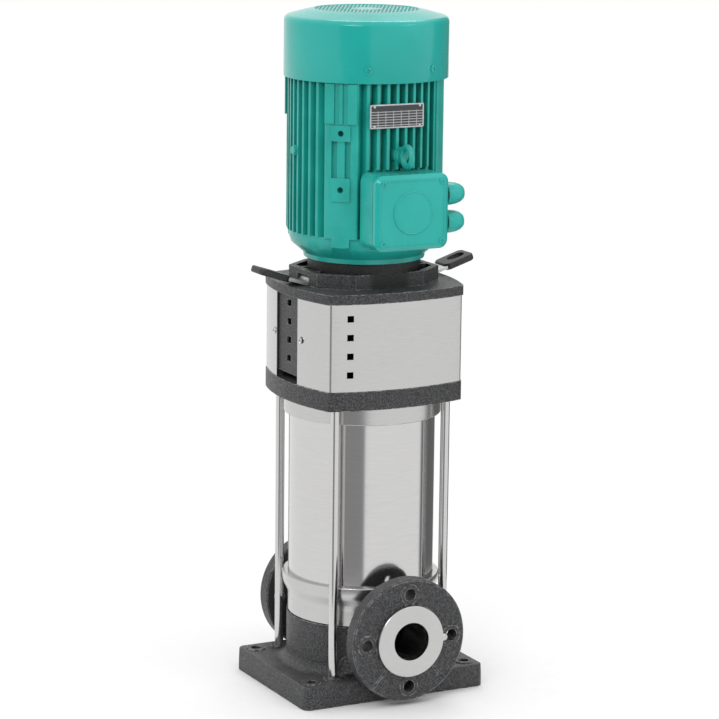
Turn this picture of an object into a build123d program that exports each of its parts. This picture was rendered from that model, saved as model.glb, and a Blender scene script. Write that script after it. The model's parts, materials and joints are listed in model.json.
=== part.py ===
"""Vertical multistage pump with its motor, piece by piece. Millimetres, +Z up.

The shaft lies on Z, with the origin on it at the underside of the base plate. The two ports
lie along Y, the inlet towards -Y and the outlet towards +Y. The lifting handles lie along X.
"""

import os
from math import cos, radians, sin, sqrt, tan

from build123d import *

os.makedirs("parts", exist_ok=True)

# ------------------------------------------------------------------ clearances
seat_gap = 0.3  # between round pieces that only rest in each other
run_gap = 0.06  # radial running clearance of shafts and pins
wheel_gap = 0.8  # between impellers or fan and what stands round them
rub_gap = 0.1  # between the two seal faces

# ------------------------------------------------------------------ foot
plate_length = 269.0  # along X
plate_width = 217.0  # along Y
plate_height = 31.0
plate_draft = 2.5
plate_corner = 10.0
plate_edge = 2.5
plate_wall = 9.0
floor_bolt_x = 230.0
floor_bolt_y = 172.0
floor_bolt_radius = 7.0
floor_boss_radius = 13.0
floor_boss_rise = 1.2
rib_thickness = 8.0
pedestal_radius = 99.5
pedestal_wall = 8.5
pedestal_top = 98.0
pedestal_flare = 14.0

# ------------------------------------------------------------------ ports
port_height = 90.0
port_reach = 150.0  # shaft axis to port face
port_bore_radius = 25.5
port_tube_wall = 3.0
collar_radius = 48.3
collar_thickness = 10.0
collar_edge = 0.8
tab_reach = 6.0
tab_width = 10.0
flange_radius = 82.5
flange_thickness = 22.0
flange_setback = 7.0  # collar face to flange face
flange_circle = 125.0
flange_hole_radius = 8.0
flange_boss_radius = 13.5
flange_boss_rise = 1.2
flange_rim = 2.0
groove_width = 2.4
groove_depth = 1.4
groove_angle = 42.0  # each side of straight down

# ------------------------------------------------------------------ pressed housing and sleeve
housing_radius = 98.0
housing_wall = 3.0
housing_cup_radius = 90.0
housing_bottom = 44.0
housing_lift = 1.2  # gap over the pedestal
flare_start = 118.0
flare_end = 146.0
rim_radius = 105.5
rim_top = 152.7
sleeve_radius = 98.0
sleeve_wall = 2.5
sleeve_depth = 12.5  # how far the sleeve enters the housing and the head
ring_section = 4.0
head_radius = 105.3
head_height = 23.6
seal_space = 7.4  # last stage to the head
head_bore_radius = 34.0

# ------------------------------------------------------------------ tie rods
rod_spacing_x = 164.0
rod_spacing_y = 164.0
rod_radius = 6.0
rod_boss_radius = 12.0
rod_boss_rise = 2.0
nut_height = 10.0
nut_radius = 9.5
washer_radius = 11.5
washer_height = 2.5

# ------------------------------------------------------------------ stages
stage_count = 6
stage_pitch = 36.0
stage_base = 150.0
stage_radius = 84.0
stage_wall = 3.0
eye_radius = 32.0
guide_radius = 73.0
return_vane_height = 12.0
return_sweep = 40  # degrees
impeller_sweep = -55  # degrees, against the turn
impeller_radius = 72.0
impeller_shroud = 2.0
impeller_passage = 8.0
impeller_lift = 4.0  # above the floor of its stage
impeller_hub_radius = 14.0
blade_count = 6
blade_thickness = 2.0
spacer_radius = 11.5
cup_radius = 73.0

# ------------------------------------------------------------------ shafts, seal and coupling
pump_shaft_radius = 8.0
pump_shaft_bottom = 58.0
pump_shaft_drop = 78.0  # shaft end below the motor's mounting face
bush_radius = 12.0
bush_length = 20.0
bush_post_radius = 17.0
seal_plate_radius = 46.0
seal_plate_height = 8.0
seal_spigot = 10.0
seal_seat_radius = 17.0
seal_seat_height = 7.0
seal_head_radius = 16.0
seal_head_height = 13.0
chamber_radius = 44.0
motor_shaft_radius = 14.0
motor_shaft_reach = 60.0  # below the motor's mounting face
coupling_radius = 36.0
coupling_drop = 13.0  # coupling's top below the motor's mounting face
coupling_length = 108.0
coupling_slit = 2.0
coupling_bolt_offset = 24.0
coupling_bolt_radius = 4.0
coupling_bolt_steps = (16.0, 36.0, 72.0, 92.0)  # from the coupling's lower end

# ------------------------------------------------------------------ lantern and guards
lantern_corner_x = 98.0
lantern_corner_y = 96.0
lantern_bulge_x = 115.0  # half width at the middle of a side
lantern_bulge_y = 111.5
lantern_corner_radius = 7.0
lantern_bore_radius = 79.0
band_height = 25.5
guard_height = 115.0
top_plate_height = 13.0
deck_overhang = 0.6
web_half_width = 45.0
web_thickness = 8.0
web_rib = 22.0
channel_half_width = 34.0  # recess between the guards
channel_depth = 21.5
channel_wall = 6.0
vent_size = 8.5
vent_pitch = 24.7
vent_count = 4
vent_top = 18.7  # top edge of the guard to the first vent's centre
web_vent_top = 11.0
guard_thickness = 1.5
guard_inset = 0.8
guard_edge = 31.0  # half width of the gap between the guards
guard_vent_x = -71.0
guard_screw_y = 39.0
guard_screw_radius = 3.5
guard_bolt_radius = 2.0
ring_half_x = 90.0
ring_half_y = 75.0
ring_flat_x = 50.0  # half length of the ring's sides along X
ring_flat_y = 42.0
ring_height = 19.0
ring_wall = 8.0
pocket_depth = 7.0
seat_radius = 75.0
seat_rise = 32.5  # motor face over the top plate
spigot_radius = 55.0

# ------------------------------------------------------------------ lifting handles
pin_x = 81.0
pin_radius = 3.0
eye_wall = 2.0
strap_width = 34.0
strap_thickness = 4.0
strap_bend_x = 94.0
strap_angle = 18.0
strap_length = 32.0  # from the bend to the strap's end
window_height = 12.5
grip_length = 45.0
grip_width = 38.0
grip_thickness = 9.0
grip_overlap = 8.5
grip_slot_length = 25.0
grip_slot_width = 17.0

# ------------------------------------------------------------------ motor
flange_mount_radius = 80.0
mount_circle = 130.0
mount_bolt_radius = 4.0
mount_flange_height = 6.0
shield_height = 36.0
shield_radius = 100.0
spigot_depth = 3.5
lug_width = 24.0
frame_height = 209.0
frame_bore_radius = 80.0
frame_radius = 87.0
fin_radius = 102.5
fin_pitch = 12.5
fin_thickness = 3.6
fins_per_side = 12
corner_angles = (45, 135, 225, 315)
pad_angles = (135, 225)
pad_width = 46.0
pad_radius = 104.5
pad_recess = 5.0
pad_rib = 10.0
pad_block = 26.0
pad_round = 3.0
pad_low = (49.0, 79.0)  # foot blocks, from the frame's lower end
pad_high = (127.0, 147.0)
core_height = 140.0
core_start = 31.0  # from the frame's lower end
core_gap = 0.5
rotor_radius = 49.5
rotor_shaft_radius = 20.0
winding_height = 20.0
winding_outer = 73.0
winding_inner = 54.0
upper_shield_height = 14.0
bearing_height = 16.0
lower_bearing_radius = 31.0
lower_journal_radius = 15.0
upper_bearing_radius = 26.0
upper_journal_radius = 12.5
cover_radius = 108.2
cover_wall = 2.0
cover_overlap = 7.0  # how far the cover comes down over the frame
cover_height = 88.0
cover_round = 16.0
cover_screw_angle = 25.5  # each side of the Y axis
cover_screw_rise = 16.5
cover_screw_radius = 4.0
grille_radii = (26.0, 40.0, 54.0)
grille_counts = (12, 18, 24)
grille_hole_radius = 4.6
fan_radius = 84.0
fan_height = 30.0
fan_blades = 8
fan_hub_radius = 16.0
fan_shaft_radius = 10.0
fan_lift = 6.0  # over the upper end shield's hub

# ------------------------------------------------------------------ terminal box and small parts
box_width = 106.0
box_height = 98.0
box_drop = 10.0  # below the frame's lower end
box_back = 90.5  # distance of the box's back from the shaft
box_depth = 34.0
box_wall = 3.5
box_corner = 12.0
gasket_height = 1.2
lid_height = 10.0
lid_bevel = 5.0
lid_disc_radius = 27.0
lid_disc_rise = 0.8
lid_screw_inset = 10.5
lid_screw_radius = 3.2
gland_radius = 15.0
gland_length = 33.0
gland_neck_radius = 11.0
gland_rises = (31.0, 67.5)  # over the box's lower edge
gland_y = 112.0
eye_rise = 20.8  # over the terminal box
eye_y = 118.0
eye_ring_radius = 12.5
eye_wire_radius = 4.0
eye_collar_radius = 9.0
plate_x = -8.0
plate_drop = 48.5  # below the frame's upper end
name_width = 78.0
name_height = 31.0
name_thickness = 0.8
name_y = 102.8
earth_boss_radius = 6.5
plug_radius = 8.0
drain_angle = 235.0
drain_z = 46.0
drain_boss = 4.0

# ------------------------------------------------------------------ heights that follow
stage_top = stage_base + stage_count * stage_pitch
head_bottom = stage_top + seal_space
head_top = head_bottom + head_height
band_bottom = head_top
band_top = band_bottom + band_height
guard_top = band_top + guard_height
deck_top = guard_top + top_plate_height
ring_top = deck_top + ring_height
pin_height = deck_top + seat_gap + eye_wall + pin_radius
motor_face = deck_top + seat_rise
frame_bottom = motor_face + shield_height
frame_top = frame_bottom + frame_height
pump_shaft_top = motor_face - pump_shaft_drop
coupling_top = motor_face - coupling_drop
coupling_bottom = coupling_top - coupling_length
coupling_bolt_rows = [coupling_bottom + step for step in coupling_bolt_steps]
core_bottom = frame_bottom + core_start
core_top = core_bottom + core_height
sleeve_bottom = rim_top - sleeve_depth
sleeve_top = head_bottom + sleeve_depth
housing_shoulder = pedestal_top + housing_lift
rod_bottom = plate_height - plate_wall / 2
fan_low = frame_top + upper_shield_height + 4 + fan_lift
cover_bottom = frame_top - cover_overlap
cover_top = cover_bottom + cover_height
cover_screw_z = cover_bottom + cover_screw_rise
box_bottom = frame_bottom - box_drop
gland_heights = [box_bottom + rise for rise in gland_rises]
eye_z = box_bottom + box_height + eye_rise
plate_z = frame_top - plate_drop
cover_angles = [middle + side * cover_screw_angle for middle in (90, 270) for side in (-1, 1)]
flange_face = port_reach - flange_setback
port_tube_radius = port_bore_radius + port_tube_wall
rod_corners = GridLocations(rod_spacing_x, rod_spacing_y, 2, 2)


def save(part, name):
    """Label a finished piece and write its STEP file."""
    part.label = name
    export_step(part, "parts/" + name + ".step")


def side_plane(distance, height, side):
    """Plane square to Y at the given distance from the shaft, facing outwards."""
    return Plane(origin=(0, side * distance, height), x_dir=(-side, 0, 0), z_dir=(0, side, 0))


def radial_plane(angle, distance, height):
    """Plane that faces outwards at an angle round the shaft, its own Y pointing up."""
    out = Vector(cos(radians(angle)), sin(radians(angle)), 0)
    across = Vector(-sin(radians(angle)), cos(radians(angle)), 0)
    return Plane(origin=out * distance + Vector(0, 0, height), x_dir=across, z_dir=out)


def ring_profile(inner, outer, low, high):
    """Half section of a plain ring, drawn in the XZ plane for a revolve about Z."""
    with Locations(((inner + outer) / 2, (low + high) / 2)):
        Rectangle(outer - inner, high - low)


def lantern_plan(inset):
    """Plan of the lantern: four bowed sides with rounded corners, moved in by inset."""
    corner_x = lantern_corner_x - inset
    corner_y = lantern_corner_y - inset
    bulge_x = lantern_bulge_x - inset
    bulge_y = lantern_bulge_y - inset
    with BuildSketch() as plan:
        with BuildLine():
            ThreePointArc((-corner_x, -corner_y), (0, -bulge_y), (corner_x, -corner_y))
            ThreePointArc((corner_x, -corner_y), (bulge_x, 0), (corner_x, corner_y))
            ThreePointArc((corner_x, corner_y), (0, bulge_y), (-corner_x, corner_y))
            ThreePointArc((-corner_x, corner_y), (-bulge_x, 0), (-corner_x, -corner_y))
        make_face()
        fillet(plan.vertices(), lantern_corner_radius - inset)
    return plan.sketch


def side_reach(inset, across):
    """Distance from the shaft of the lantern's bowed side, at a distance across its middle."""
    rise = lantern_bulge_x - lantern_corner_x
    half = lantern_corner_y - inset
    bow = (rise**2 + half**2) / (2 * rise)
    return lantern_bulge_x - inset - bow + sqrt(bow**2 - across**2)


# ================================================================== foot
with BuildPart() as pump_foot:
    with BuildSketch():
        RectangleRounded(plate_length, plate_width, plate_corner)
    extrude(amount=plate_height, taper=plate_draft)
    fillet(pump_foot.faces().sort_by(Axis.Z)[-1].edges(), plate_edge)
    with BuildSketch(Plane.XY.offset(plate_height)):
        with GridLocations(floor_bolt_x, floor_bolt_y, 2, 2):
            Circle(floor_boss_radius)
    extrude(amount=floor_boss_rise)
    with BuildSketch(Plane.XY.offset(plate_height)):
        with rod_corners:
            Circle(rod_boss_radius)
    extrude(amount=rod_boss_rise, taper=10)
    with BuildSketch(Plane.XZ) as pedestal_half:
        with BuildLine():
            Polyline(
                (0, plate_height - plate_wall),
                (pedestal_radius + pedestal_flare, plate_height - plate_wall),
                (pedestal_radius + pedestal_flare, plate_height),
            )
            RadiusArc(
                (pedestal_radius + pedestal_flare, plate_height),
                (pedestal_radius, plate_height + pedestal_flare),
                pedestal_flare,
            )
            Polyline(
                (pedestal_radius, plate_height + pedestal_flare),
                (pedestal_radius, pedestal_top),
                (0, pedestal_top),
                (0, plate_height - plate_wall),
            )
        make_face()
    revolve(axis=Axis.Z)
    with BuildSketch(radial_plane(drain_angle, 0, drain_z)):
        Circle(plug_radius + 5)
    extrude(amount=pedestal_radius + drain_boss)
    with BuildSketch():
        RectangleRounded(
            plate_length,
            plate_width - 2 * plate_height * tan(radians(plate_draft)),
            plate_corner,
        )
    extrude(amount=pedestal_top, mode=Mode.INTERSECT)
    with BuildSketch(Plane.XY.offset(pedestal_top)):
        Circle(pedestal_radius - pedestal_wall)
    extrude(amount=plate_height - pedestal_top, mode=Mode.SUBTRACT)
    for side in (-1, 1):
        with BuildSketch(side_plane(0, port_height, side)):
            Circle(port_tube_radius + seat_gap)
            with Locations((0, pedestal_top / 2)):
                Rectangle(2 * (port_tube_radius + seat_gap), pedestal_top)
        extrude(amount=pedestal_radius + pedestal_flare, mode=Mode.SUBTRACT)
    with BuildSketch() as underside:
        RectangleRounded(
            plate_length - 2 * plate_wall,
            plate_width - 2 * plate_wall,
            plate_corner / 2,
        )
        with GridLocations(floor_bolt_x, floor_bolt_y, 2, 2):
            Circle(floor_boss_radius, mode=Mode.SUBTRACT)
        with rod_corners:
            Circle(rod_boss_radius, mode=Mode.SUBTRACT)
        Rectangle(rib_thickness, plate_width, mode=Mode.SUBTRACT)
        Rectangle(plate_length, rib_thickness, mode=Mode.SUBTRACT)
    extrude(amount=plate_height - plate_wall, mode=Mode.SUBTRACT)
    with Locations(Plane.XY.offset(plate_height + floor_boss_rise)):
        with GridLocations(floor_bolt_x, floor_bolt_y, 2, 2):
            Hole(floor_bolt_radius, plate_height + floor_boss_rise)
    with BuildSketch(Plane.XY.offset(rod_bottom)):
        with rod_corners:
            Circle(rod_radius + run_gap)
    extrude(amount=plate_height, mode=Mode.SUBTRACT)
save(pump_foot.part, "pump_foot")

# ================================================================== pressed lower housing
with BuildPart() as lower_housing:
    with BuildSketch(Plane.XZ):
        with BuildLine():
            Polyline(
                (0, housing_bottom),
                (housing_cup_radius, housing_bottom),
                (housing_cup_radius, housing_shoulder),
                (housing_radius, housing_shoulder),
                (housing_radius, flare_start),
            )
            Bezier(
                (housing_radius, flare_start),
                (housing_radius, (flare_start + flare_end) / 2),
                (rim_radius, (flare_start + flare_end) / 2),
                (rim_radius, flare_end),
            )
            Polyline((rim_radius, flare_end), (rim_radius, rim_top), (0, rim_top), (0, housing_bottom))
        make_face()
    revolve(axis=Axis.Z)
    fillet(lower_housing.edges().filter_by(GeomType.CIRCLE).sort_by(Axis.Z)[0], 2 * housing_wall)
    fillet(lower_housing.faces().sort_by(Axis.Z)[-1].edges(), 1.2)
    for side in (-1, 1):
        with BuildSketch(side_plane(0, port_height, side)):
            Circle(port_tube_radius)
        extrude(amount=port_reach - collar_thickness)
    with BuildSketch(Plane.XY.offset(housing_bottom + housing_wall)):
        Circle(housing_cup_radius - housing_wall)
    extrude(amount=rim_top, mode=Mode.SUBTRACT)
    with BuildSketch(Plane.XY.offset(housing_shoulder + housing_wall)):
        Circle(housing_radius - housing_wall)
    extrude(amount=rim_top, mode=Mode.SUBTRACT)
    with BuildSketch(Plane.XY.offset(sleeve_bottom)):
        Circle(sleeve_radius + seat_gap)
    extrude(amount=rim_top, mode=Mode.SUBTRACT)
    with BuildSketch(Plane.XZ):
        groove_low = sleeve_bottom + (sleeve_depth - ring_section) / 2 - seat_gap
        ring_profile(
            sleeve_radius,
            sleeve_radius + ring_section + seat_gap,
            groove_low,
            groove_low + ring_section + 2 * seat_gap,
        )
    revolve(axis=Axis.Z, mode=Mode.SUBTRACT)
    for side in (-1, 1):
        with BuildSketch(side_plane(0, port_height, side)):
            Circle(port_bore_radius)
        extrude(amount=port_reach, mode=Mode.SUBTRACT)
save(lower_housing.part, "lower_housing")

# ================================================================== port collars
with BuildPart() as port_collars:
    for side in (-1, 1):
        with BuildSketch(side_plane(port_reach, port_height, side)):
            Circle(collar_radius)
            with Locations((collar_radius, 0)):
                SlotOverall(2 * tab_reach, tab_width)
        extrude(amount=-collar_thickness)
    faces_out = port_collars.faces().filter_by(Axis.Y)
    chamfer(faces_out.sort_by(Axis.Y)[0].edges(), collar_edge)
    chamfer(port_collars.faces().filter_by(Axis.Y).sort_by(Axis.Y)[-1].edges(), collar_edge)
    for side in (-1, 1):
        with BuildSketch(side_plane(port_reach, port_height, side)):
            Circle(port_bore_radius)
        extrude(amount=-collar_thickness, mode=Mode.SUBTRACT)
save(port_collars.part, "port_collars")


# ================================================================== loose flanges
def loose_flange(side):
    """Cast ring that turns freely behind its collar, with four tapped holes."""
    face = side_plane(flange_face, port_height, side)
    with BuildPart() as flange:
        with BuildSketch(face):
            Circle(flange_radius)
        extrude(amount=-flange_thickness)
        chamfer(flange.edges().filter_by(GeomType.CIRCLE), flange_rim)
        with BuildSketch(face):
            with PolarLocations(flange_circle / 2, 4):
                Circle(flange_boss_radius)
        extrude(amount=flange_boss_rise)
        with BuildSketch(face):
            with PolarLocations(0, 2, start_angle=-90 - groove_angle, angular_range=4 * groove_angle):
                with Locations((flange_radius / 2 + collar_radius / 2, 0)):
                    Rectangle(flange_radius - collar_radius, groove_width)
        extrude(amount=-groove_depth, mode=Mode.SUBTRACT)
        with BuildSketch(face):
            Circle(collar_radius + seat_gap)
            with Locations((collar_radius, 0)):
                SlotOverall(2 * (tab_reach + seat_gap), tab_width + 2 * seat_gap)
        extrude(amount=flange_setback - collar_thickness, mode=Mode.SUBTRACT)
        with BuildSketch(face):
            with Locations((collar_radius, 0)):
                SlotOverall(2 * (tab_reach + seat_gap), tab_width + 2 * seat_gap)
        extrude(amount=flange_boss_rise, mode=Mode.SUBTRACT)
        with BuildSketch(face):
            Circle(port_tube_radius + seat_gap)
            with PolarLocations(flange_circle / 2, 4):
                Circle(flange_hole_radius)
        extrude(amount=-flange_thickness, mode=Mode.SUBTRACT)
        with BuildSketch(face):
            with PolarLocations(flange_circle / 2, 4):
                Circle(flange_hole_radius)
        extrude(amount=flange_boss_rise, mode=Mode.SUBTRACT)
    return flange.part


save(loose_flange(-1), "inlet_flange")
save(loose_flange(1), "outlet_flange")

# ================================================================== sleeve, head and their seals
with BuildPart() as outer_sleeve:
    with BuildSketch(Plane.XZ):
        ring_profile(
            sleeve_radius - sleeve_wall,
            sleeve_radius,
            sleeve_bottom,
            sleeve_top,
        )
    revolve(axis=Axis.Z)
save(outer_sleeve.part, "outer_sleeve")

with BuildPart() as pump_head:
    with BuildSketch(Plane.XZ):
        ring_profile(head_bore_radius, head_radius, head_bottom, head_top)
    revolve(axis=Axis.Z)
    with BuildSketch(Plane.XY.offset(head_bottom)):
        Circle(sleeve_radius + seat_gap)
    extrude(amount=sleeve_depth, mode=Mode.SUBTRACT)
    with BuildSketch(Plane.XZ):
        groove_low = head_bottom + (sleeve_depth - ring_section) / 2 - seat_gap
        ring_profile(
            sleeve_radius,
            sleeve_radius + ring_section + seat_gap,
            groove_low,
            groove_low + ring_section + 2 * seat_gap,
        )
    revolve(axis=Axis.Z, mode=Mode.SUBTRACT)
    fillet(pump_head.edges().filter_by(GeomType.CIRCLE).group_by(Axis.Z)[0].sort_by(SortBy.RADIUS)[-1], 1.5)
save(pump_head.part, "pump_head")

with BuildPart() as seal_rings:
    with BuildSketch(Plane.XZ):
        for middle in (sleeve_bottom + sleeve_depth / 2, head_bottom + sleeve_depth / 2):
            with Locations((sleeve_radius + (ring_section + seat_gap) / 2, middle)):
                Circle((ring_section - seat_gap) / 2)
    revolve(axis=Axis.Z)
save(seal_rings.part, "seal_rings")

# ================================================================== stages
with BuildPart() as suction_cup:
    with BuildSketch(Plane.XZ):
        cup_floor = housing_bottom + housing_wall
        ring_profile(0, cup_radius, cup_floor, cup_floor + stage_wall)
        ring_profile(cup_radius - stage_wall, cup_radius, cup_floor, stage_base)
        ring_profile(eye_radius, stage_radius, stage_base - stage_wall, stage_base)
        ring_profile(0, bush_post_radius, cup_floor, pump_shaft_bottom + bush_length)
    revolve(axis=Axis.Z)
    with BuildSketch(side_plane(0, port_height, -1)):
        Circle(port_bore_radius + stage_wall)
    extrude(amount=sqrt(cup_radius**2 - port_bore_radius**2) + stage_wall)
    with BuildSketch(Plane.XY.offset(pump_shaft_bottom + bush_length)):
        Circle(cup_radius - stage_wall)
        Circle(bush_post_radius, mode=Mode.SUBTRACT)
    extrude(amount=stage_base - stage_wall - pump_shaft_bottom - bush_length, mode=Mode.SUBTRACT)
    with BuildSketch(Plane.XY.offset(cup_floor + stage_wall)):
        Circle(cup_radius - stage_wall)
        Circle(bush_post_radius, mode=Mode.SUBTRACT)
    extrude(amount=stage_base - 2 * stage_wall - cup_floor, mode=Mode.SUBTRACT)
    with BuildSketch(Plane.XY.offset(pump_shaft_bottom)):
        Circle(bush_radius)
    extrude(amount=stage_base - stage_wall - pump_shaft_bottom, mode=Mode.SUBTRACT)
    with BuildSketch(side_plane(bush_post_radius + 1, port_height, -1)):
        Circle(port_bore_radius)
    extrude(amount=cup_radius + stage_wall, mode=Mode.SUBTRACT)
save(suction_cup.part, "suction_cup")

with BuildPart() as bearing_bush:
    with BuildSketch(Plane.XZ):
        ring_profile(
            pump_shaft_radius + run_gap,
            bush_radius - run_gap,
            pump_shaft_bottom,
            pump_shaft_bottom + bush_length,
        )
    revolve(axis=Axis.Z)
save(bearing_bush.part, "bearing_bush")


def curved_vane(inner, outer, sweep):
    """Plan of one vane: a strip between two arcs that sweeps round as it runs outwards."""
    stations = ((inner, 0), ((inner + outer) / 2, 0.38 * sweep), (outer, sweep))
    edges = []
    for shift in (-blade_thickness / 2, blade_thickness / 2):
        edge = []
        for radius, degrees in stations:
            turn = radians(degrees)
            edge.append((radius * cos(turn) - shift * sin(turn), radius * sin(turn) + shift * cos(turn)))
        edges.append(edge)
    lower, upper = edges
    with BuildSketch() as plan:
        with BuildLine():
            ThreePointArc(*lower)
            Line(lower[2], upper[2])
            ThreePointArc(*reversed(upper))
            Line(upper[0], lower[0])
        make_face()
    return plan.sketch


return_vane = curved_vane(eye_radius + 4, guide_radius - 2, return_sweep)
impeller_vane = curved_vane(eye_radius - 2, impeller_radius - 2, impeller_sweep)

with BuildPart() as stage_casings:
    for stage in range(stage_count):
        top = stage_base + (stage + 1) * stage_pitch
        guide_top = top - stage_wall - return_vane_height
        with BuildSketch(Plane.XZ):
            ring_profile(stage_radius - stage_wall, stage_radius, top - stage_pitch, top)
            ring_profile(eye_radius, stage_radius, top - stage_wall, top)
            ring_profile(
                spacer_radius + wheel_gap,
                guide_radius,
                guide_top - impeller_shroud,
                guide_top,
            )
        revolve(axis=Axis.Z)
        with BuildSketch(Plane.XY.offset(guide_top)):
            with PolarLocations(0, blade_count):
                add(return_vane)
        extrude(amount=return_vane_height)
save(stage_casings.part, "stage_casings")

with BuildPart() as impellers:
    for stage in range(stage_count):
        low = stage_base + stage * stage_pitch + impeller_lift
        passage_low = low + impeller_shroud
        passage_high = passage_low + impeller_passage
        with BuildSketch(Plane.XZ):
            ring_profile(eye_radius - 4, impeller_radius, low, passage_low)
            ring_profile(
                eye_radius - 4,
                eye_radius - 2,
                low - impeller_lift - stage_wall + wheel_gap,
                low + impeller_shroud / 2,
            )
            ring_profile(
                pump_shaft_radius + run_gap,
                impeller_radius,
                passage_high,
                passage_high + impeller_shroud,
            )
            ring_profile(
                pump_shaft_radius + run_gap,
                impeller_hub_radius,
                low,
                passage_high + impeller_shroud,
            )
        revolve(axis=Axis.Z)
        with BuildSketch(Plane.XY.offset(passage_low)):
            with PolarLocations(0, blade_count):
                add(impeller_vane)
        extrude(amount=impeller_passage)
save(impellers.part, "impellers")

with BuildPart() as spacer_sleeves:
    impeller_height = 2 * impeller_shroud + impeller_passage
    with BuildSketch(Plane.XZ):
        for stage in range(stage_count):
            low = stage_base + stage * stage_pitch + impeller_lift + impeller_height
            length = stage_pitch - impeller_height
            ring_profile(pump_shaft_radius + run_gap, spacer_radius, low, low + length)
    revolve(axis=Axis.Z)
save(spacer_sleeves.part, "spacer_sleeves")

with BuildPart() as shaft_nut:
    nut_top = stage_base + impeller_lift
    with BuildSketch(Plane.XY.offset(nut_top - nut_height)):
        RegularPolygon(impeller_hub_radius, 6)
        Circle(pump_shaft_radius + run_gap, mode=Mode.SUBTRACT)
    extrude(amount=nut_height)
save(shaft_nut.part, "shaft_nut")

with BuildPart() as pump_shaft:
    with BuildSketch(Plane.XY.offset(pump_shaft_bottom + run_gap)):
        Circle(pump_shaft_radius)
    extrude(amount=pump_shaft_top - pump_shaft_bottom - run_gap)
    chamfer(pump_shaft.edges().filter_by(GeomType.CIRCLE), 1)
save(pump_shaft.part, "pump_shaft")

# ================================================================== shaft seal
with BuildPart() as seal_chamber:
    with BuildSketch(Plane.XZ):
        chamber_top = head_bottom + sleeve_depth
        ring_profile(eye_radius, chamber_radius + stage_wall, stage_top, stage_top + stage_wall)
        ring_profile(chamber_radius - stage_wall, chamber_radius, stage_top, chamber_top)
    revolve(axis=Axis.Z)
    with BuildSketch(Plane.XY.offset(stage_top + stage_wall)):
        with PolarLocations(chamber_radius, 6):
            Rectangle(2 * stage_wall + 2, 2 * nut_height)
    extrude(amount=(chamber_top - stage_top) / 2, mode=Mode.SUBTRACT)
save(seal_chamber.part, "seal_chamber")

with BuildPart() as seal_plate:
    seat_low = head_top - seal_spigot
    with BuildSketch(Plane.XZ):
        ring_profile(
            pump_shaft_radius + wheel_gap,
            seal_plate_radius,
            head_top,
            head_top + seal_plate_height,
        )
        ring_profile(
            pump_shaft_radius + wheel_gap,
            head_bore_radius - seat_gap,
            seat_low,
            head_top,
        )
    revolve(axis=Axis.Z)
    with BuildSketch(Plane.XY.offset(seat_low)):
        Circle(seal_seat_radius + run_gap)
    extrude(amount=seal_seat_height - 1, mode=Mode.SUBTRACT)
save(seal_plate.part, "seal_plate")

with BuildPart() as seal_seat:
    with BuildSketch(Plane.XZ):
        ring_profile(
            pump_shaft_radius + wheel_gap,
            seal_seat_radius,
            seat_low - 1,
            seat_low - 1 + seal_seat_height,
        )
    revolve(axis=Axis.Z)
save(seal_seat.part, "seal_seat")

with BuildPart() as seal_head:
    head_high = seat_low - 1 - rub_gap
    with BuildSketch(Plane.XZ):
        ring_profile(
            pump_shaft_radius + run_gap,
            seal_head_radius,
            head_high - seal_head_height,
            head_high,
        )
    revolve(axis=Axis.Z)
    chamfer(seal_head.edges().filter_by(GeomType.CIRCLE).sort_by(SortBy.RADIUS)[-2:], 1.5)
save(seal_head.part, "seal_head")

# ================================================================== tie rods and their nuts
with BuildPart() as tie_rods:
    with BuildSketch(Plane.XY.offset(rod_bottom)):
        with rod_corners:
            Circle(rod_radius)
    extrude(amount=band_top + washer_height + nut_height + 3 - rod_bottom)
save(tie_rods.part, "tie_rods")

with BuildPart() as rod_washers:
    with BuildSketch(Plane.XY.offset(band_top)):
        with rod_corners:
            Circle(washer_radius)
            Circle(rod_radius + run_gap, mode=Mode.SUBTRACT)
    extrude(amount=washer_height)
save(rod_washers.part, "rod_washers")

with BuildPart() as rod_nuts:
    with BuildSketch(Plane.XY.offset(band_top + washer_height)):
        with rod_corners:
            RegularPolygon(nut_radius, 6, major_radius=False)
            Circle(rod_radius + run_gap, mode=Mode.SUBTRACT)
    extrude(amount=nut_height)
save(rod_nuts.part, "rod_nuts")

with BuildPart() as vent_plug:
    plug_base = head_top
    with BuildSketch(Plane.XY.offset(plug_base)):
        with Locations((0, (seal_plate_radius + lantern_bore_radius) / 2)):
            Circle(plug_radius + 3)
    extrude(amount=3)
    with BuildSketch(Plane.XY.offset(plug_base + 3)):
        with Locations((0, (seal_plate_radius + lantern_bore_radius) / 2)):
            RegularPolygon(plug_radius, 6)
    extrude(amount=plug_radius)
save(vent_plug.part, "vent_plug")

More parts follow.
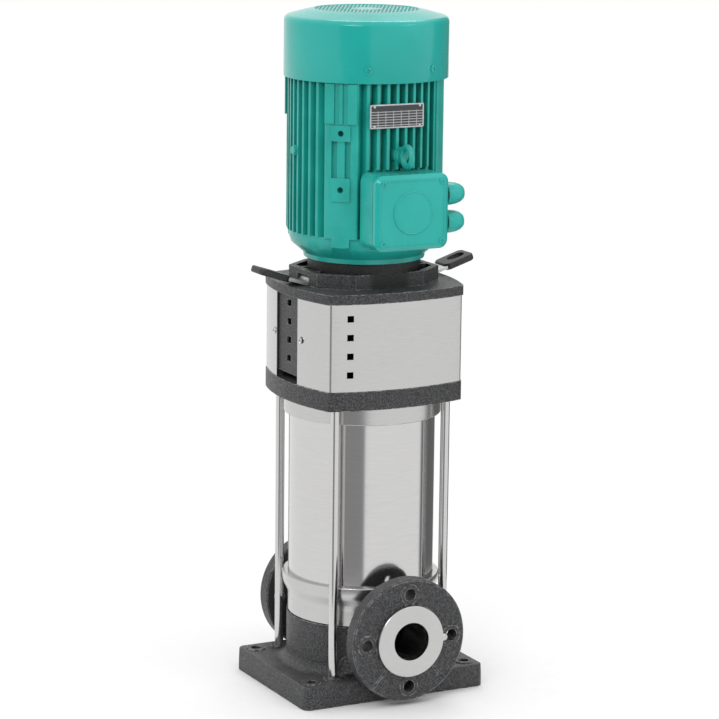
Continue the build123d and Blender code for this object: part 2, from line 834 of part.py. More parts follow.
# ================================================================== coupling
coupling_halves = []
for side in (-1, 1):
    with BuildPart() as coupling_half:
        with BuildSketch(Plane.XY.offset(coupling_bottom)):
            Circle(coupling_radius)
        extrude(amount=coupling_top - coupling_bottom)
        chamfer(coupling_half.edges().filter_by(GeomType.CIRCLE), 2)
        with BuildSketch(Plane.XY.offset(coupling_bottom)):
            Circle(pump_shaft_radius + run_gap)
        extrude(amount=coupling_top - coupling_bottom, mode=Mode.SUBTRACT)
        motor_bore_low = (pump_shaft_top + motor_face - motor_shaft_reach) / 2
        with BuildSketch(Plane.XY.offset(motor_bore_low)):
            Circle(motor_shaft_radius + run_gap)
        extrude(amount=coupling_top - motor_bore_low, mode=Mode.SUBTRACT)
        with BuildSketch(Plane.XY.offset(coupling_bottom)):
            with Locations((0, -side * coupling_radius + side * coupling_slit / 2)):
                Rectangle(2 * coupling_radius, 2 * coupling_radius)
        extrude(amount=coupling_top - coupling_bottom, mode=Mode.SUBTRACT)
        bolt_sides = (-coupling_bolt_offset, coupling_bolt_offset)
        bolt_places = [(x, z) for x in bolt_sides for z in coupling_bolt_rows]
        with BuildSketch(Plane.XZ):
            with Locations(*bolt_places):
                Circle(coupling_bolt_radius + run_gap)
        extrude(amount=coupling_radius, both=True, mode=Mode.SUBTRACT)
        with BuildSketch(side_plane(coupling_radius - 12, 0, side)):
            with Locations(*[(-side * x, z) for x, z in bolt_places]):
                Circle(2 * coupling_bolt_radius)
        extrude(amount=coupling_radius, mode=Mode.SUBTRACT)
    coupling_halves.append(coupling_half.part)
save(coupling_halves[0], "coupling_half_front")
save(coupling_halves[1], "coupling_half_rear")

with BuildPart() as coupling_bolts:
    head_seat = coupling_radius - 12
    with BuildSketch(side_plane(-head_seat, 0, -1)):
        with Locations(*bolt_places):
            Circle(coupling_bolt_radius)
    extrude(amount=2 * head_seat)
    for side in (-1, 1):
        with BuildSketch(side_plane(head_seat, 0, side)):
            with Locations(*[(-side * x, z) for x, z in bolt_places]):
                RegularPolygon(coupling_bolt_radius * 1.7, 6)
        extrude(amount=coupling_bolt_radius * 1.4)
save(coupling_bolts.part, "coupling_bolts")

# ================================================================== lantern
web_outer = side_reach(guard_inset + guard_thickness + seat_gap, web_half_width)
with BuildPart() as lantern:
    with BuildSketch(Plane.XY.offset(band_bottom)):
        add(lantern_plan(0))
        Circle(lantern_bore_radius, mode=Mode.SUBTRACT)
    extrude(amount=band_height)
    with BuildSketch(Plane.XY.offset(band_top)) as web_plan:
        add(lantern_plan(guard_inset + guard_thickness + seat_gap))
        web_inside = web_outer - web_thickness
        Rectangle(2 * web_inside, 2 * lantern_bulge_y, mode=Mode.SUBTRACT)
        Rectangle(2 * lantern_bulge_x, 2 * web_half_width, mode=Mode.INTERSECT)
        with GridLocations(2 * web_inside - web_rib, 2 * web_half_width - web_thickness, 2, 2):
            Rectangle(web_rib, web_thickness)
        Rectangle(2 * lantern_bulge_x, 2 * channel_half_width, mode=Mode.SUBTRACT)
        with GridLocations(2 * (web_outer - channel_depth) - channel_wall, 1, 2, 1):
            Rectangle(channel_wall, 2 * web_half_width)
        Circle(lantern_bore_radius + 4, mode=Mode.SUBTRACT)
    extrude(amount=guard_height)
    with BuildSketch(Plane.XY.offset(guard_top)):
        add(lantern_plan(-deck_overhang))
    extrude(amount=top_plate_height)
    octagon = [
        (-ring_flat_x, -ring_half_y),
        (ring_flat_x, -ring_half_y),
        (ring_half_x, -ring_flat_y),
        (ring_half_x, ring_flat_y),
        (ring_flat_x, ring_half_y),
        (-ring_flat_x, ring_half_y),
        (-ring_half_x, ring_flat_y),
        (-ring_half_x, -ring_flat_y),
    ]
    with BuildSketch(Plane.XY.offset(deck_top)):
        Polygon(*octagon, align=None)
    extrude(amount=ring_height)
    with BuildSketch(Plane.XY.offset(ring_top)):
        Polygon(*octagon, align=None)
        offset(amount=-ring_wall, kind=Kind.INTERSECTION, mode=Mode.REPLACE)
        Circle(seat_radius, mode=Mode.SUBTRACT)
        with GridLocations(ring_half_x + seat_radius - 2, 1, 2, 1):
            Rectangle(ring_half_x - seat_radius + 2, strap_width + 4 * pin_radius, mode=Mode.SUBTRACT)
    extrude(amount=-ring_height - pocket_depth, mode=Mode.SUBTRACT)
    with BuildSketch(Plane.XY.offset(guard_top)):
        Circle(seat_radius)
    extrude(amount=motor_face - guard_top)
    for side in (-1, 1):
        slot_start = seat_radius - seat_gap
        with BuildSketch(Plane.XY.offset(deck_top)):
            with Locations((side * (slot_start + ring_half_x + 1) / 2, 0)):
                Rectangle(ring_half_x + 1 - slot_start, strap_width + 2 * seat_gap)
        extrude(amount=window_height, mode=Mode.SUBTRACT)
        with BuildSketch(Plane.XY.offset(deck_top)):
            with Locations((side * (slot_start + ring_half_x - ring_wall) / 2, 0)):
                Rectangle(ring_half_x - ring_wall - slot_start, strap_width + 2 * seat_gap)
        extrude(amount=ring_height, mode=Mode.SUBTRACT)
    with BuildSketch(Plane.XY.offset(guard_top)):
        Circle(spigot_radius + run_gap)
    extrude(amount=motor_face - guard_top, mode=Mode.SUBTRACT)
    with BuildSketch(Plane.XY.offset(guard_top)):
        with PolarLocations(mount_circle / 2, 4, start_angle=45):
            Circle(mount_bolt_radius + run_gap)
    extrude(amount=motor_face - guard_top, mode=Mode.SUBTRACT)
    with BuildSketch(Plane.XY.offset(band_bottom)):
        with rod_corners:
            Circle(rod_radius + run_gap)
    extrude(amount=band_height, mode=Mode.SUBTRACT)
    vent_heights = [guard_top - vent_top - row * vent_pitch for row in range(vent_count)]
    web_heights = [guard_top - web_vent_top - row * vent_pitch for row in range(vent_count)]
    with BuildSketch(Plane.YZ):
        with Locations(*[(0, height) for height in web_heights]):
            Rectangle(vent_size, vent_size)
    extrude(amount=lantern_bulge_x, both=True, mode=Mode.SUBTRACT)
    with BuildSketch(Plane.XZ):
        with Locations((-pin_x, pin_height), (pin_x, pin_height)):
            Circle(pin_radius + run_gap)
    extrude(amount=strap_width, both=True, mode=Mode.SUBTRACT)
    screw_height = (band_top + guard_top) / 2 + 3
    screw_places = [(y, screw_height) for y in (-guard_screw_y, guard_screw_y)]
    with BuildSketch(Plane.YZ):
        with Locations(*screw_places):
            Circle(guard_bolt_radius + run_gap)
    extrude(amount=lantern_bulge_x, both=True, mode=Mode.SUBTRACT)
save(lantern.part, "lantern")


# ================================================================== coupling guards
def coupling_guard(side):
    """Sheet cover bent round one long side of the lantern, with a row of square vents."""
    with BuildPart() as guard:
        with BuildSketch(Plane.XY.offset(band_top)):
            add(lantern_plan(guard_inset))
            add(lantern_plan(guard_inset + guard_thickness), mode=Mode.SUBTRACT)
            with Locations((0, side * (lantern_bulge_y + guard_edge) / 2)):
                Rectangle(
                    2 * lantern_bulge_x,
                    lantern_bulge_y - guard_edge,
                    mode=Mode.INTERSECT,
                )
        extrude(amount=guard_height - seat_gap)
        with BuildSketch(side_plane(0, 0, side)):
            with Locations(*[(guard_vent_x, height) for height in vent_heights]):
                Rectangle(vent_size, vent_size)
        extrude(amount=lantern_bulge_y, mode=Mode.SUBTRACT)
        with BuildSketch(Plane.YZ):
            with Locations((side * guard_screw_y, screw_height)):
                Circle(guard_bolt_radius + run_gap)
        extrude(amount=lantern_bulge_x, both=True, mode=Mode.SUBTRACT)
    return guard.part


save(coupling_guard(-1), "front_guard")
save(coupling_guard(1), "rear_guard")

with BuildPart() as guard_screws:
    sheet_x = side_reach(guard_inset, guard_screw_y - guard_screw_radius)
    for side in (-1, 1):
        outwards = Plane(origin=(side * sheet_x, 0, 0), x_dir=(0, side, 0), z_dir=(side, 0, 0))
        with BuildSketch(outwards):
            with Locations(*[(side * y, height) for y, height in screw_places]):
                Circle(guard_screw_radius)
        extrude(amount=guard_screw_radius / 2)
        with BuildSketch(outwards):
            with Locations(*[(side * y, height) for y, height in screw_places]):
                Circle(guard_bolt_radius)
        extrude(amount=-web_thickness)
save(guard_screws.part, "guard_screws")

# ================================================================== lifting handles
with BuildPart() as handle_pins:
    with BuildSketch(Plane.XZ):
        with Locations((-pin_x, pin_height), (pin_x, pin_height)):
            Circle(pin_radius)
    extrude(amount=strap_width / 2 + 2 * pin_radius, both=True)
save(handle_pins.part, "handle_pins")


def handle_strap(side):
    """Flat strap with a rolled eye round its pin, bent upwards outside the ring."""
    low = pin_height - pin_radius - eye_wall
    tilt = radians(strap_angle)
    rise = (-strap_thickness * sin(tilt), strap_thickness * cos(tilt))
    heel = (strap_bend_x, low)
    end = (strap_bend_x + strap_length * cos(tilt), low + strap_length * sin(tilt))
    knee = strap_bend_x - strap_thickness * tan(tilt / 2)
    with BuildPart() as strap:
        with BuildSketch(Plane.XZ):
            with Locations((side * pin_x, pin_height)):
                Circle(pin_radius + eye_wall)
            with BuildLine():
                Polyline(
                    (side * pin_x, low),
                    (side * heel[0], heel[1]),
                    (side * end[0], end[1]),
                    (side * (end[0] + rise[0]), end[1] + rise[1]),
                    (side * knee, low + strap_thickness),
                    (side * pin_x, low + strap_thickness),
                    close=True,
                )
            make_face()
            with Locations((side * pin_x, pin_height)):
                Circle(pin_radius + run_gap, mode=Mode.SUBTRACT)
        extrude(amount=strap_width / 2, both=True)
        fillet(strap.edges().filter_by(Axis.Z, tolerance=25).sort_by(Axis.X)[::side][-2:], 5)
    return strap.part


def handle_grip(side):
    """Moulded loop pushed over the strap's end, with a finger slot through it."""
    tilt = radians(strap_angle)
    along = Vector(side * cos(tilt), 0, sin(tilt))
    normal = Vector(-side * sin(tilt), 0, cos(tilt))
    low = pin_height - pin_radius - eye_wall
    end = Vector(side * strap_bend_x, 0, low) + along * strap_length + normal * (strap_thickness / 2)
    middle = end + along * (grip_length / 2 - grip_overlap)
    flat = Plane(origin=middle, x_dir=along, z_dir=normal)
    with BuildPart() as grip:
        with BuildSketch(flat):
            RectangleRounded(grip_length, grip_width, 8)
        extrude(amount=grip_thickness / 2, both=True)
        fillet(grip.faces().filter_by(Axis((0, 0, 0), tuple(normal))).edges(), 2.5)
        with BuildSketch(flat):
            with Locations((grip_overlap / 2 - 1, 0)):
                SlotOverall(grip_slot_length, grip_slot_width)
        extrude(amount=grip_thickness, both=True, mode=Mode.SUBTRACT)
        with BuildSketch(flat):
            with Locations((-grip_length / 2 + grip_overlap / 2, 0)):
                Rectangle(grip_overlap, strap_width + 2 * run_gap)
        extrude(amount=strap_thickness / 2 + run_gap, both=True, mode=Mode.SUBTRACT)
    return grip.part


save(handle_strap(-1), "left_handle_strap")
save(handle_strap(1), "right_handle_strap")
save(handle_grip(-1), "left_handle_grip")
save(handle_grip(1), "right_handle_grip")

# ================================================================== motor: lower end shield
with BuildPart() as motor_flange:
    with BuildSketch(Plane.XZ):
        with BuildLine():
            Polyline(
                (0, motor_face),
                (flange_mount_radius, motor_face),
                (flange_mount_radius + 1, motor_face + mount_flange_height),
                (shield_radius - 3, motor_face + 0.55 * shield_height),
                (shield_radius, motor_face + 0.8 * shield_height),
                (shield_radius, frame_bottom),
                (0, frame_bottom),
                close=True,
            )
        make_face()
    revolve(axis=Axis.Z)
    for angle in corner_angles:
        with BuildSketch(radial_plane(angle, 0, motor_face + mount_flange_height)):
            with Locations((0, (shield_height - mount_flange_height) / 2)):
                Rectangle(lug_width, shield_height - mount_flange_height)
        extrude(amount=pad_radius - 2)
    with BuildSketch(Plane.XZ):
        with BuildLine():
            Polyline(
                (flange_mount_radius + 1, motor_face),
                (flange_mount_radius + 1, motor_face + mount_flange_height),
                (pad_radius, motor_face + 0.72 * shield_height),
                (2 * pad_radius, motor_face + 0.72 * shield_height),
                (2 * pad_radius, motor_face),
                close=True,
            )
        make_face()
    revolve(axis=Axis.Z, mode=Mode.SUBTRACT)
    with BuildSketch(Plane.XY.offset(box_bottom - 3)):
        with Locations((0, -box_back - box_depth)):
            Rectangle(box_width + 4, 2 * box_depth)
    extrude(amount=box_height, mode=Mode.SUBTRACT)
    with BuildSketch(Plane.XY.offset(motor_face)):
        Circle(spigot_radius)
    extrude(amount=-spigot_depth)
    with BuildSketch(Plane.XZ):
        ring_profile(
            lower_bearing_radius + 9,
            frame_bore_radius,
            motor_face + 1.6 * mount_flange_height,
            frame_bottom,
        )
    revolve(axis=Axis.Z, mode=Mode.SUBTRACT)
    with BuildSketch(Plane.XY.offset(motor_face + mount_flange_height)):
        Circle(lower_bearing_radius + run_gap)
    extrude(amount=shield_height, mode=Mode.SUBTRACT)
    with BuildSketch(Plane.XY.offset(motor_face - spigot_depth)):
        Circle(lower_journal_radius + wheel_gap)
    extrude(amount=shield_height, mode=Mode.SUBTRACT)
    with BuildSketch(Plane.XY.offset(motor_face)):
        with PolarLocations(mount_circle / 2, 4, start_angle=45):
            Circle(mount_bolt_radius + run_gap)
    extrude(amount=1.4 * mount_flange_height, mode=Mode.SUBTRACT)
save(motor_flange.part, "motor_flange")

with BuildPart() as motor_bolts:
    with BuildSketch(Plane.XY.offset(guard_top)):
        with PolarLocations(mount_circle / 2, 4, start_angle=45):
            RegularPolygon(1.7 * mount_bolt_radius, 6)
    extrude(amount=-1.4 * mount_bolt_radius)
    with BuildSketch(Plane.XY.offset(guard_top)):
        with PolarLocations(mount_circle / 2, 4, start_angle=45):
            Circle(mount_bolt_radius)
    extrude(amount=motor_face + mount_flange_height - guard_top)
save(motor_bolts.part, "motor_bolts")

# ================================================================== motor: finned frame
fin_offsets = [fin_pitch * (index - (fins_per_side - 1) / 2) for index in range(fins_per_side)]
with BuildPart() as stator_frame:
    with BuildSketch(Plane.XY.offset(frame_bottom)):
        with PolarLocations(0, 4):
            for across in fin_offsets:
                with Locations(((abs(across) + fin_radius) / 2, across)):
                    Rectangle(fin_radius - abs(across), fin_thickness)
        Circle(fin_radius, mode=Mode.INTERSECT)
        Circle(frame_radius)
    extrude(amount=frame_height)
    for angle in corner_angles:
        wide = pad_width if angle in pad_angles else lug_width
        with BuildSketch(radial_plane(angle, 0, frame_bottom)):
            with Locations((0, frame_height / 2)):
                Rectangle(wide, frame_height)
        extrude(amount=pad_radius - 2)
    fillet(
        stator_frame.edges().filter_by(Axis.Z).filter_by(
            lambda edge: sqrt(edge.center().X ** 2 + edge.center().Y ** 2) > fin_radius + 0.5
        ),
        pad_round,
    )
    for angle in pad_angles:
        for low, high in (pad_low, pad_high):
            with BuildSketch(radial_plane(angle, pad_radius - 2, frame_bottom)):
                with Locations((0, (low + high) / 2)):
                    RectangleRounded(pad_block, high - low, 1.5)
            extrude(amount=2)
        recess_low = pad_low[1]
        recess_high = pad_high[0]
        with BuildSketch(radial_plane(angle, pad_radius - 2, frame_bottom)):
            with Locations((0, (recess_low + recess_high) / 2)):
                Rectangle(pad_block, recess_high - recess_low)
                Rectangle(pad_rib, recess_high - recess_low, mode=Mode.SUBTRACT)
        extrude(amount=-pad_recess, mode=Mode.SUBTRACT)
        with BuildSketch(radial_plane(angle, pad_radius, frame_bottom)):
            with Locations((0, sum(pad_low) / 2), (0, sum(pad_high) / 2)):
                Circle(mount_bolt_radius)
        extrude(amount=-3 * mount_bolt_radius, mode=Mode.SUBTRACT)
    with BuildSketch(Plane.XY.offset(box_bottom - 3)):
        with Locations((0, -box_back - box_depth)):
            Rectangle(box_width + 4, 2 * box_depth)
    extrude(amount=box_height + 6, mode=Mode.SUBTRACT)
    with BuildSketch(Plane.XY.offset(frame_bottom)):
        with Locations((0, -(box_back + frame_bore_radius) / 2)):
            Rectangle(box_width - 12, box_back - frame_bore_radius)
    extrude(amount=box_bottom + box_height - 3 - frame_bottom)
    with BuildSketch(side_plane(0, eye_z, -1)):
        Circle(eye_collar_radius + 2)
    extrude(amount=fin_radius - 1)
    with BuildSketch(side_plane(fin_radius - 1, eye_z, -1)):
        Circle(eye_collar_radius + 2)
    extrude(amount=fin_radius, mode=Mode.SUBTRACT)
    for across in (plate_x - 0.42 * name_width, plate_x + 0.42 * name_width):
        with BuildSketch(Plane.XY.offset(plate_z - name_height / 2 + 2)):
            with Locations((across, -(name_y + frame_radius - 8) / 2)):
                Rectangle(6, name_y - frame_radius + 8)
        extrude(amount=name_height - 4)
    with BuildSketch(Plane.YZ):
        with Locations((0, eye_z)):
            Circle(earth_boss_radius)
    extrude(amount=-fin_radius - 1)
    with BuildSketch(Plane.XY.offset(frame_bottom)):
        Circle(frame_bore_radius)
    extrude(amount=frame_height, mode=Mode.SUBTRACT)
    with BuildSketch(side_plane(0, eye_z, -1)):
        Circle(eye_wire_radius + run_gap)
    extrude(amount=fin_radius, mode=Mode.SUBTRACT)
save(stator_frame.part, "stator_frame")

with BuildPart() as stator_core:
    with BuildSketch(Plane.XZ):
        ring_profile(rotor_radius + core_gap, frame_bore_radius - run_gap, core_bottom, core_top)
    revolve(axis=Axis.Z)
save(stator_core.part, "stator_core")

with BuildPart() as windings:
    with BuildSketch(Plane.XZ):
        ring_profile(winding_inner, winding_outer, core_bottom - winding_height, core_bottom)
        ring_profile(winding_inner, winding_outer, core_top, core_top + winding_height)
    revolve(axis=Axis.Z)
    fillet(windings.edges().filter_by(GeomType.CIRCLE).group_by(Axis.Z)[0], 4)
    fillet(windings.edges().filter_by(GeomType.CIRCLE).group_by(Axis.Z)[-1], 4)
save(windings.part, "windings")

with BuildPart() as rotor_core:
    with BuildSketch(Plane.XZ):
        ring_profile(rotor_shaft_radius, rotor_radius, core_bottom, core_top)
    revolve(axis=Axis.Z)
save(rotor_core.part, "rotor_core")

upper_bearing_low = frame_top + upper_shield_height - bearing_height + 2
lower_bearing_low = motor_face + mount_flange_height
with BuildPart() as lower_bearing:
    with BuildSketch(Plane.XZ):
        ring_profile(
            lower_journal_radius + run_gap,
            lower_bearing_radius,
            lower_bearing_low,
            lower_bearing_low + bearing_height,
        )
    revolve(axis=Axis.Z)
save(lower_bearing.part, "lower_bearing")

with BuildPart() as upper_bearing:
    with BuildSketch(Plane.XZ):
        ring_profile(
            upper_journal_radius + run_gap,
            upper_bearing_radius,
            upper_bearing_low,
            upper_bearing_low + bearing_height,
        )
    revolve(axis=Axis.Z)
save(upper_bearing.part, "upper_bearing")

with BuildPart() as upper_shield:
    shield_top = frame_top + upper_shield_height
    with BuildSketch(Plane.XZ):
        ring_profile(0, cover_radius - cover_wall - seat_gap, frame_top, shield_top)
        ring_profile(0, upper_bearing_radius + 8, upper_bearing_low - 4, shield_top + 4)
    revolve(axis=Axis.Z)
    with BuildSketch(Plane.XY.offset(upper_bearing_low)):
        Circle(upper_bearing_radius + run_gap)
    extrude(amount=2 * bearing_height, mode=Mode.SUBTRACT)
    with BuildSketch(Plane.XY.offset(upper_bearing_low - 4)):
        Circle(rotor_shaft_radius + wheel_gap)
    extrude(amount=bearing_height, mode=Mode.SUBTRACT)
    for angle in cover_angles:
        with BuildSketch(radial_plane(angle, cover_radius - cover_wall, cover_screw_z)):
            Circle(cover_screw_radius / 2 + run_gap)
        extrude(amount=-10, mode=Mode.SUBTRACT)
save(upper_shield.part, "upper_shield")

with BuildPart() as motor_shaft:
    shaft_steps = (
        (motor_shaft_radius, motor_face - motor_shaft_reach),
        (lower_journal_radius, motor_face - spigot_depth),
        (rotor_shaft_radius - run_gap, lower_bearing_low + bearing_height),
        (upper_journal_radius, upper_bearing_low),
        (fan_shaft_radius, upper_bearing_low + bearing_height),
    )
    shaft_ends = [low for radius, low in shaft_steps[1:]] + [fan_low + fan_height]
    with BuildSketch(Plane.XZ):
        for (radius, low), high in zip(shaft_steps, shaft_ends):
            ring_profile(0, radius, low, high)
    revolve(axis=Axis.Z)
    chamfer(motor_shaft.edges().filter_by(GeomType.CIRCLE).sort_by(Axis.Z)[0], 1)
save(motor_shaft.part, "motor_shaft")

# ================================================================== motor: fan and its cover
with BuildPart() as fan:
    with BuildSketch(Plane.XZ):
        ring_profile(fan_shaft_radius + run_gap, fan_hub_radius, fan_low, fan_low + fan_height)
        ring_profile(fan_hub_radius - 1, fan_radius - 12, fan_low, fan_low + 2.5)
    revolve(axis=Axis.Z)
    with BuildSketch(Plane.XY.offset(fan_low)):
        with PolarLocations(0, fan_blades):
            with Locations(((fan_radius + fan_hub_radius) / 2, 0)):
                Rectangle(fan_radius - fan_hub_radius + 2, 2.5)
    extrude(amount=fan_height - 4)
save(fan.part, "fan")

with BuildPart() as fan_cover:
    with BuildSketch(Plane.XY.offset(cover_bottom)):
        Circle(cover_radius)
    extrude(amount=cover_top - cover_bottom)
    fillet(fan_cover.edges().filter_by(GeomType.CIRCLE).sort_by(Axis.Z)[-1], cover_round)
    bottom_face = fan_cover.faces().filter_by(GeomType.PLANE).sort_by(Axis.Z)[0]
    offset(amount=-cover_wall, openings=bottom_face)
    with BuildSketch(Plane.XY.offset(cover_top)):
        for row_radius, count in zip(grille_radii, grille_counts):
            with PolarLocations(row_radius, count):
                Circle(grille_hole_radius)
    extrude(amount=-2 * cover_wall, mode=Mode.SUBTRACT)
    for angle in cover_angles:
        with BuildSketch(radial_plane(angle, cover_radius - 2 * cover_wall, cover_screw_z)):
            Circle(cover_screw_radius / 2 + run_gap)
        extrude(amount=4 * cover_wall, mode=Mode.SUBTRACT)
save(fan_cover.part, "fan_cover")

with BuildPart() as cover_screws:
    for angle in cover_angles:
        with BuildSketch(radial_plane(angle, cover_radius, cover_screw_z)):
            Circle(cover_screw_radius)
        extrude(amount=2)
        with BuildSketch(radial_plane(angle, cover_radius, cover_screw_z)):
            Circle(cover_screw_radius / 2)
        extrude(amount=-9)
save(cover_screws.part, "cover_screws")

# ================================================================== terminal box
box_middle = box_bottom + box_height / 2
box_front = box_back + box_depth
lid_back = box_front + gasket_height
lid_front = lid_back + lid_height
lid_screws_at = GridLocations(
    box_width - 2 * lid_screw_inset,
    box_height - 2 * lid_screw_inset,
    2,
    2,
)
with BuildPart() as terminal_box:
    with BuildSketch(side_plane(box_back, box_middle, -1)):
        RectangleRounded(box_width, box_height, box_corner)
    extrude(amount=box_depth)
    with BuildSketch(side_plane(box_back + box_wall, box_middle, -1)):
        RectangleRounded(box_width - 2 * box_wall, box_height - 2 * box_wall, box_corner - box_wall)
    extrude(amount=box_depth, mode=Mode.SUBTRACT)
    with BuildSketch(side_plane(box_back, box_middle, -1)):
        with lid_screws_at:
            Circle(2 * lid_screw_radius)
    extrude(amount=box_depth)
    with BuildSketch(side_plane(box_back + box_wall, box_middle, -1)):
        with lid_screws_at:
            Circle(lid_screw_radius / 2 + run_gap)
    extrude(amount=box_depth, mode=Mode.SUBTRACT)
    with BuildSketch(Plane.YZ):
        with Locations(*[(-gland_y, height) for height in gland_heights]):
            Circle(gland_neck_radius - 2)
    extrude(amount=box_width, mode=Mode.SUBTRACT)
save(terminal_box.part, "terminal_box")

with BuildPart() as terminal_gasket:
    with BuildSketch(side_plane(box_front, box_middle, -1)):
        RectangleRounded(box_width - 1, box_height - 1, box_corner)
        RectangleRounded(
            box_width - 2 * box_wall,
            box_height - 2 * box_wall,
            box_corner - box_wall,
            mode=Mode.SUBTRACT,
        )
    extrude(amount=gasket_height)
save(terminal_gasket.part, "terminal_gasket")

with BuildPart() as terminal_lid:
    with BuildSketch(side_plane(lid_back, box_middle, -1)):
        RectangleRounded(box_width, box_height, box_corner)
    extrude(amount=lid_height)
    chamfer(terminal_lid.faces().sort_by(Axis.Y)[0].edges(), lid_bevel * 0.8, lid_bevel)
    with BuildSketch(side_plane(lid_back, box_middle, -1)):
        RectangleRounded(
            box_width - 2 * lid_bevel - 2 * box_wall,
            box_height - 2 * lid_bevel - 2 * box_wall,
            box_corner - box_wall,
        )
        with lid_screws_at:
            Circle(2.4 * lid_screw_radius, mode=Mode.SUBTRACT)
    extrude(amount=lid_height - box_wall, mode=Mode.SUBTRACT)
    with BuildSketch(side_plane(lid_front, box_middle, -1)):
        Circle(lid_disc_radius)
    extrude(amount=lid_disc_rise)
    with BuildSketch(side_plane(lid_back, box_middle, -1)):
        with lid_screws_at:
            Circle(lid_screw_radius / 2 + run_gap)
    extrude(amount=lid_height, mode=Mode.SUBTRACT)
save(terminal_lid.part, "terminal_lid")

with BuildPart() as lid_screws:
    with BuildSketch(side_plane(lid_front, box_middle, -1)):
        with lid_screws_at:
            Circle(lid_screw_radius)
    extrude(amount=1.6)
    with BuildSketch(side_plane(lid_front, box_middle, -1)):
        with lid_screws_at:
            Circle(lid_screw_radius / 2)
    extrude(amount=-lid_height - box_depth / 2)
save(lid_screws.part, "lid_screws")

with BuildPart() as terminal_block:
    with BuildSketch(side_plane(box_back + box_wall, box_middle, -1)):
        RectangleRounded(box_width / 2, box_height / 3, 3)
    extrude(amount=box_depth / 3)
    with BuildSketch(side_plane(box_back + box_wall + box_depth / 3, box_middle, -1)):
        with GridLocations(box_width / 6, box_height / 6, 3, 2):
            Circle(2.5)
    extrude(amount=box_depth / 3)
save(terminal_block.part, "terminal_block")

with BuildPart() as cable_glands:
    for height in gland_heights:
        across = Plane(origin=(box_width / 2, -gland_y, height), x_dir=(0, 1, 0), z_dir=(1, 0, 0))
        with BuildSketch(across):
            Circle(gland_neck_radius)
        extrude(amount=gland_length / 6)
        with BuildSketch(across.offset(gland_length / 6)):
            RegularPolygon(gland_radius, 6)
        extrude(amount=gland_length / 4)
        with BuildSketch(across.offset(5 * gland_length / 12)):
            Circle(gland_radius - 1)
        extrude(amount=7 * gland_length / 12)
    fillet(cable_glands.faces().sort_by(Axis.X)[-2:].edges(), gland_radius - 4)
save(cable_glands.part, "cable_glands")

# ================================================================== motor: small parts
with BuildPart() as eye_bolt:
    with BuildSketch(Plane(origin=(0, -eye_y, eye_z), x_dir=(0, 1, 0), z_dir=(0, 0, 1))):
        with Locations((eye_ring_radius, 0)):
            Circle(eye_wire_radius)
    revolve(axis=Axis((0, -eye_y, eye_z), (1, 0, 0)))
    with BuildSketch(side_plane(frame_radius - 5, eye_z, -1)):
        Circle(eye_wire_radius)
    extrude(amount=eye_y - eye_ring_radius - frame_radius + 5)
    with BuildSketch(side_plane(fin_radius - 1, eye_z, -1)):
        Circle(eye_collar_radius)
    extrude(amount=2.5)
save(eye_bolt.part, "eye_bolt")

with BuildPart() as nameplate:
    with BuildSketch(side_plane(name_y, plate_z, -1)):
        with Locations((plate_x, 0)):
            RectangleRounded(name_width, name_height, 2)
    extrude(amount=name_thickness)
save(nameplate.part, "nameplate")

with BuildPart() as nameplate_rivets:
    with BuildSketch(side_plane(name_y + name_thickness, plate_z, -1)):
        with Locations((plate_x, 0)):
            with GridLocations(0.84 * name_width, name_height - 6, 2, 2):
                Circle(1.6)
    extrude(amount=0.8)
save(nameplate_rivets.part, "nameplate_rivets")

with BuildPart() as earth_screw:
    with BuildSketch(Plane(origin=(-fin_radius - 1, 0, eye_z), x_dir=(0, -1, 0), z_dir=(-1, 0, 0))):
        Circle(earth_boss_radius - 1)
    extrude(amount=3)
save(earth_screw.part, "earth_screw")

with BuildPart() as drain_plug:
    place = radial_plane(drain_angle, pedestal_radius + drain_boss, drain_z)
    with BuildSketch(place):
        Circle(plug_radius + 2)
    extrude(amount=3)
    with BuildSketch(place.offset(3)):
        RegularPolygon(plug_radius, 6)
    extrude(amount=plug_radius)
save(drain_plug.part, "drain_plug")
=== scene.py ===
import json
import math

import bmesh
import bpy
from mathutils import Matrix, Vector

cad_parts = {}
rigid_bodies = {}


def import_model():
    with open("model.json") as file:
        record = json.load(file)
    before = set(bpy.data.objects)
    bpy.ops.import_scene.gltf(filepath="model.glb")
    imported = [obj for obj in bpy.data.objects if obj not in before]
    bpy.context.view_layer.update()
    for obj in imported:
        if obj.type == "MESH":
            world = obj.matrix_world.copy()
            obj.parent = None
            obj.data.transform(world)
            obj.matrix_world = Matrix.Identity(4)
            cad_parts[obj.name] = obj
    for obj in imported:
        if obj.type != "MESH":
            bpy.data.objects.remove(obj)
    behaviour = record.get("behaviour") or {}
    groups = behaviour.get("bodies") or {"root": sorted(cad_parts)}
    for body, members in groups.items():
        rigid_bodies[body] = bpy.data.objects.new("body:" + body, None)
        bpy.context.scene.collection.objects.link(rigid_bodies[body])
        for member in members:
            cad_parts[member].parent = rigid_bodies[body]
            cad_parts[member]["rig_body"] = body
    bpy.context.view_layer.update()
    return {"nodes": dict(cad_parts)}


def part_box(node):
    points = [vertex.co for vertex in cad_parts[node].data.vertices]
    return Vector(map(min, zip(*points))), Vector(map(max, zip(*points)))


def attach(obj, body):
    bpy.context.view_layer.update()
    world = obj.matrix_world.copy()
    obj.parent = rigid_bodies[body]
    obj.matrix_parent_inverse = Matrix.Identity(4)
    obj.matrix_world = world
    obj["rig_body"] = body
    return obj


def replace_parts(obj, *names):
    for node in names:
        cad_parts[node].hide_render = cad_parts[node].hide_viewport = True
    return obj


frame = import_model()

MM = 0.001
WHITE = (1.0, 1.0, 1.0, 1.0)
WELD = 0.00001


# ---------------------------------------------------------------- node trees

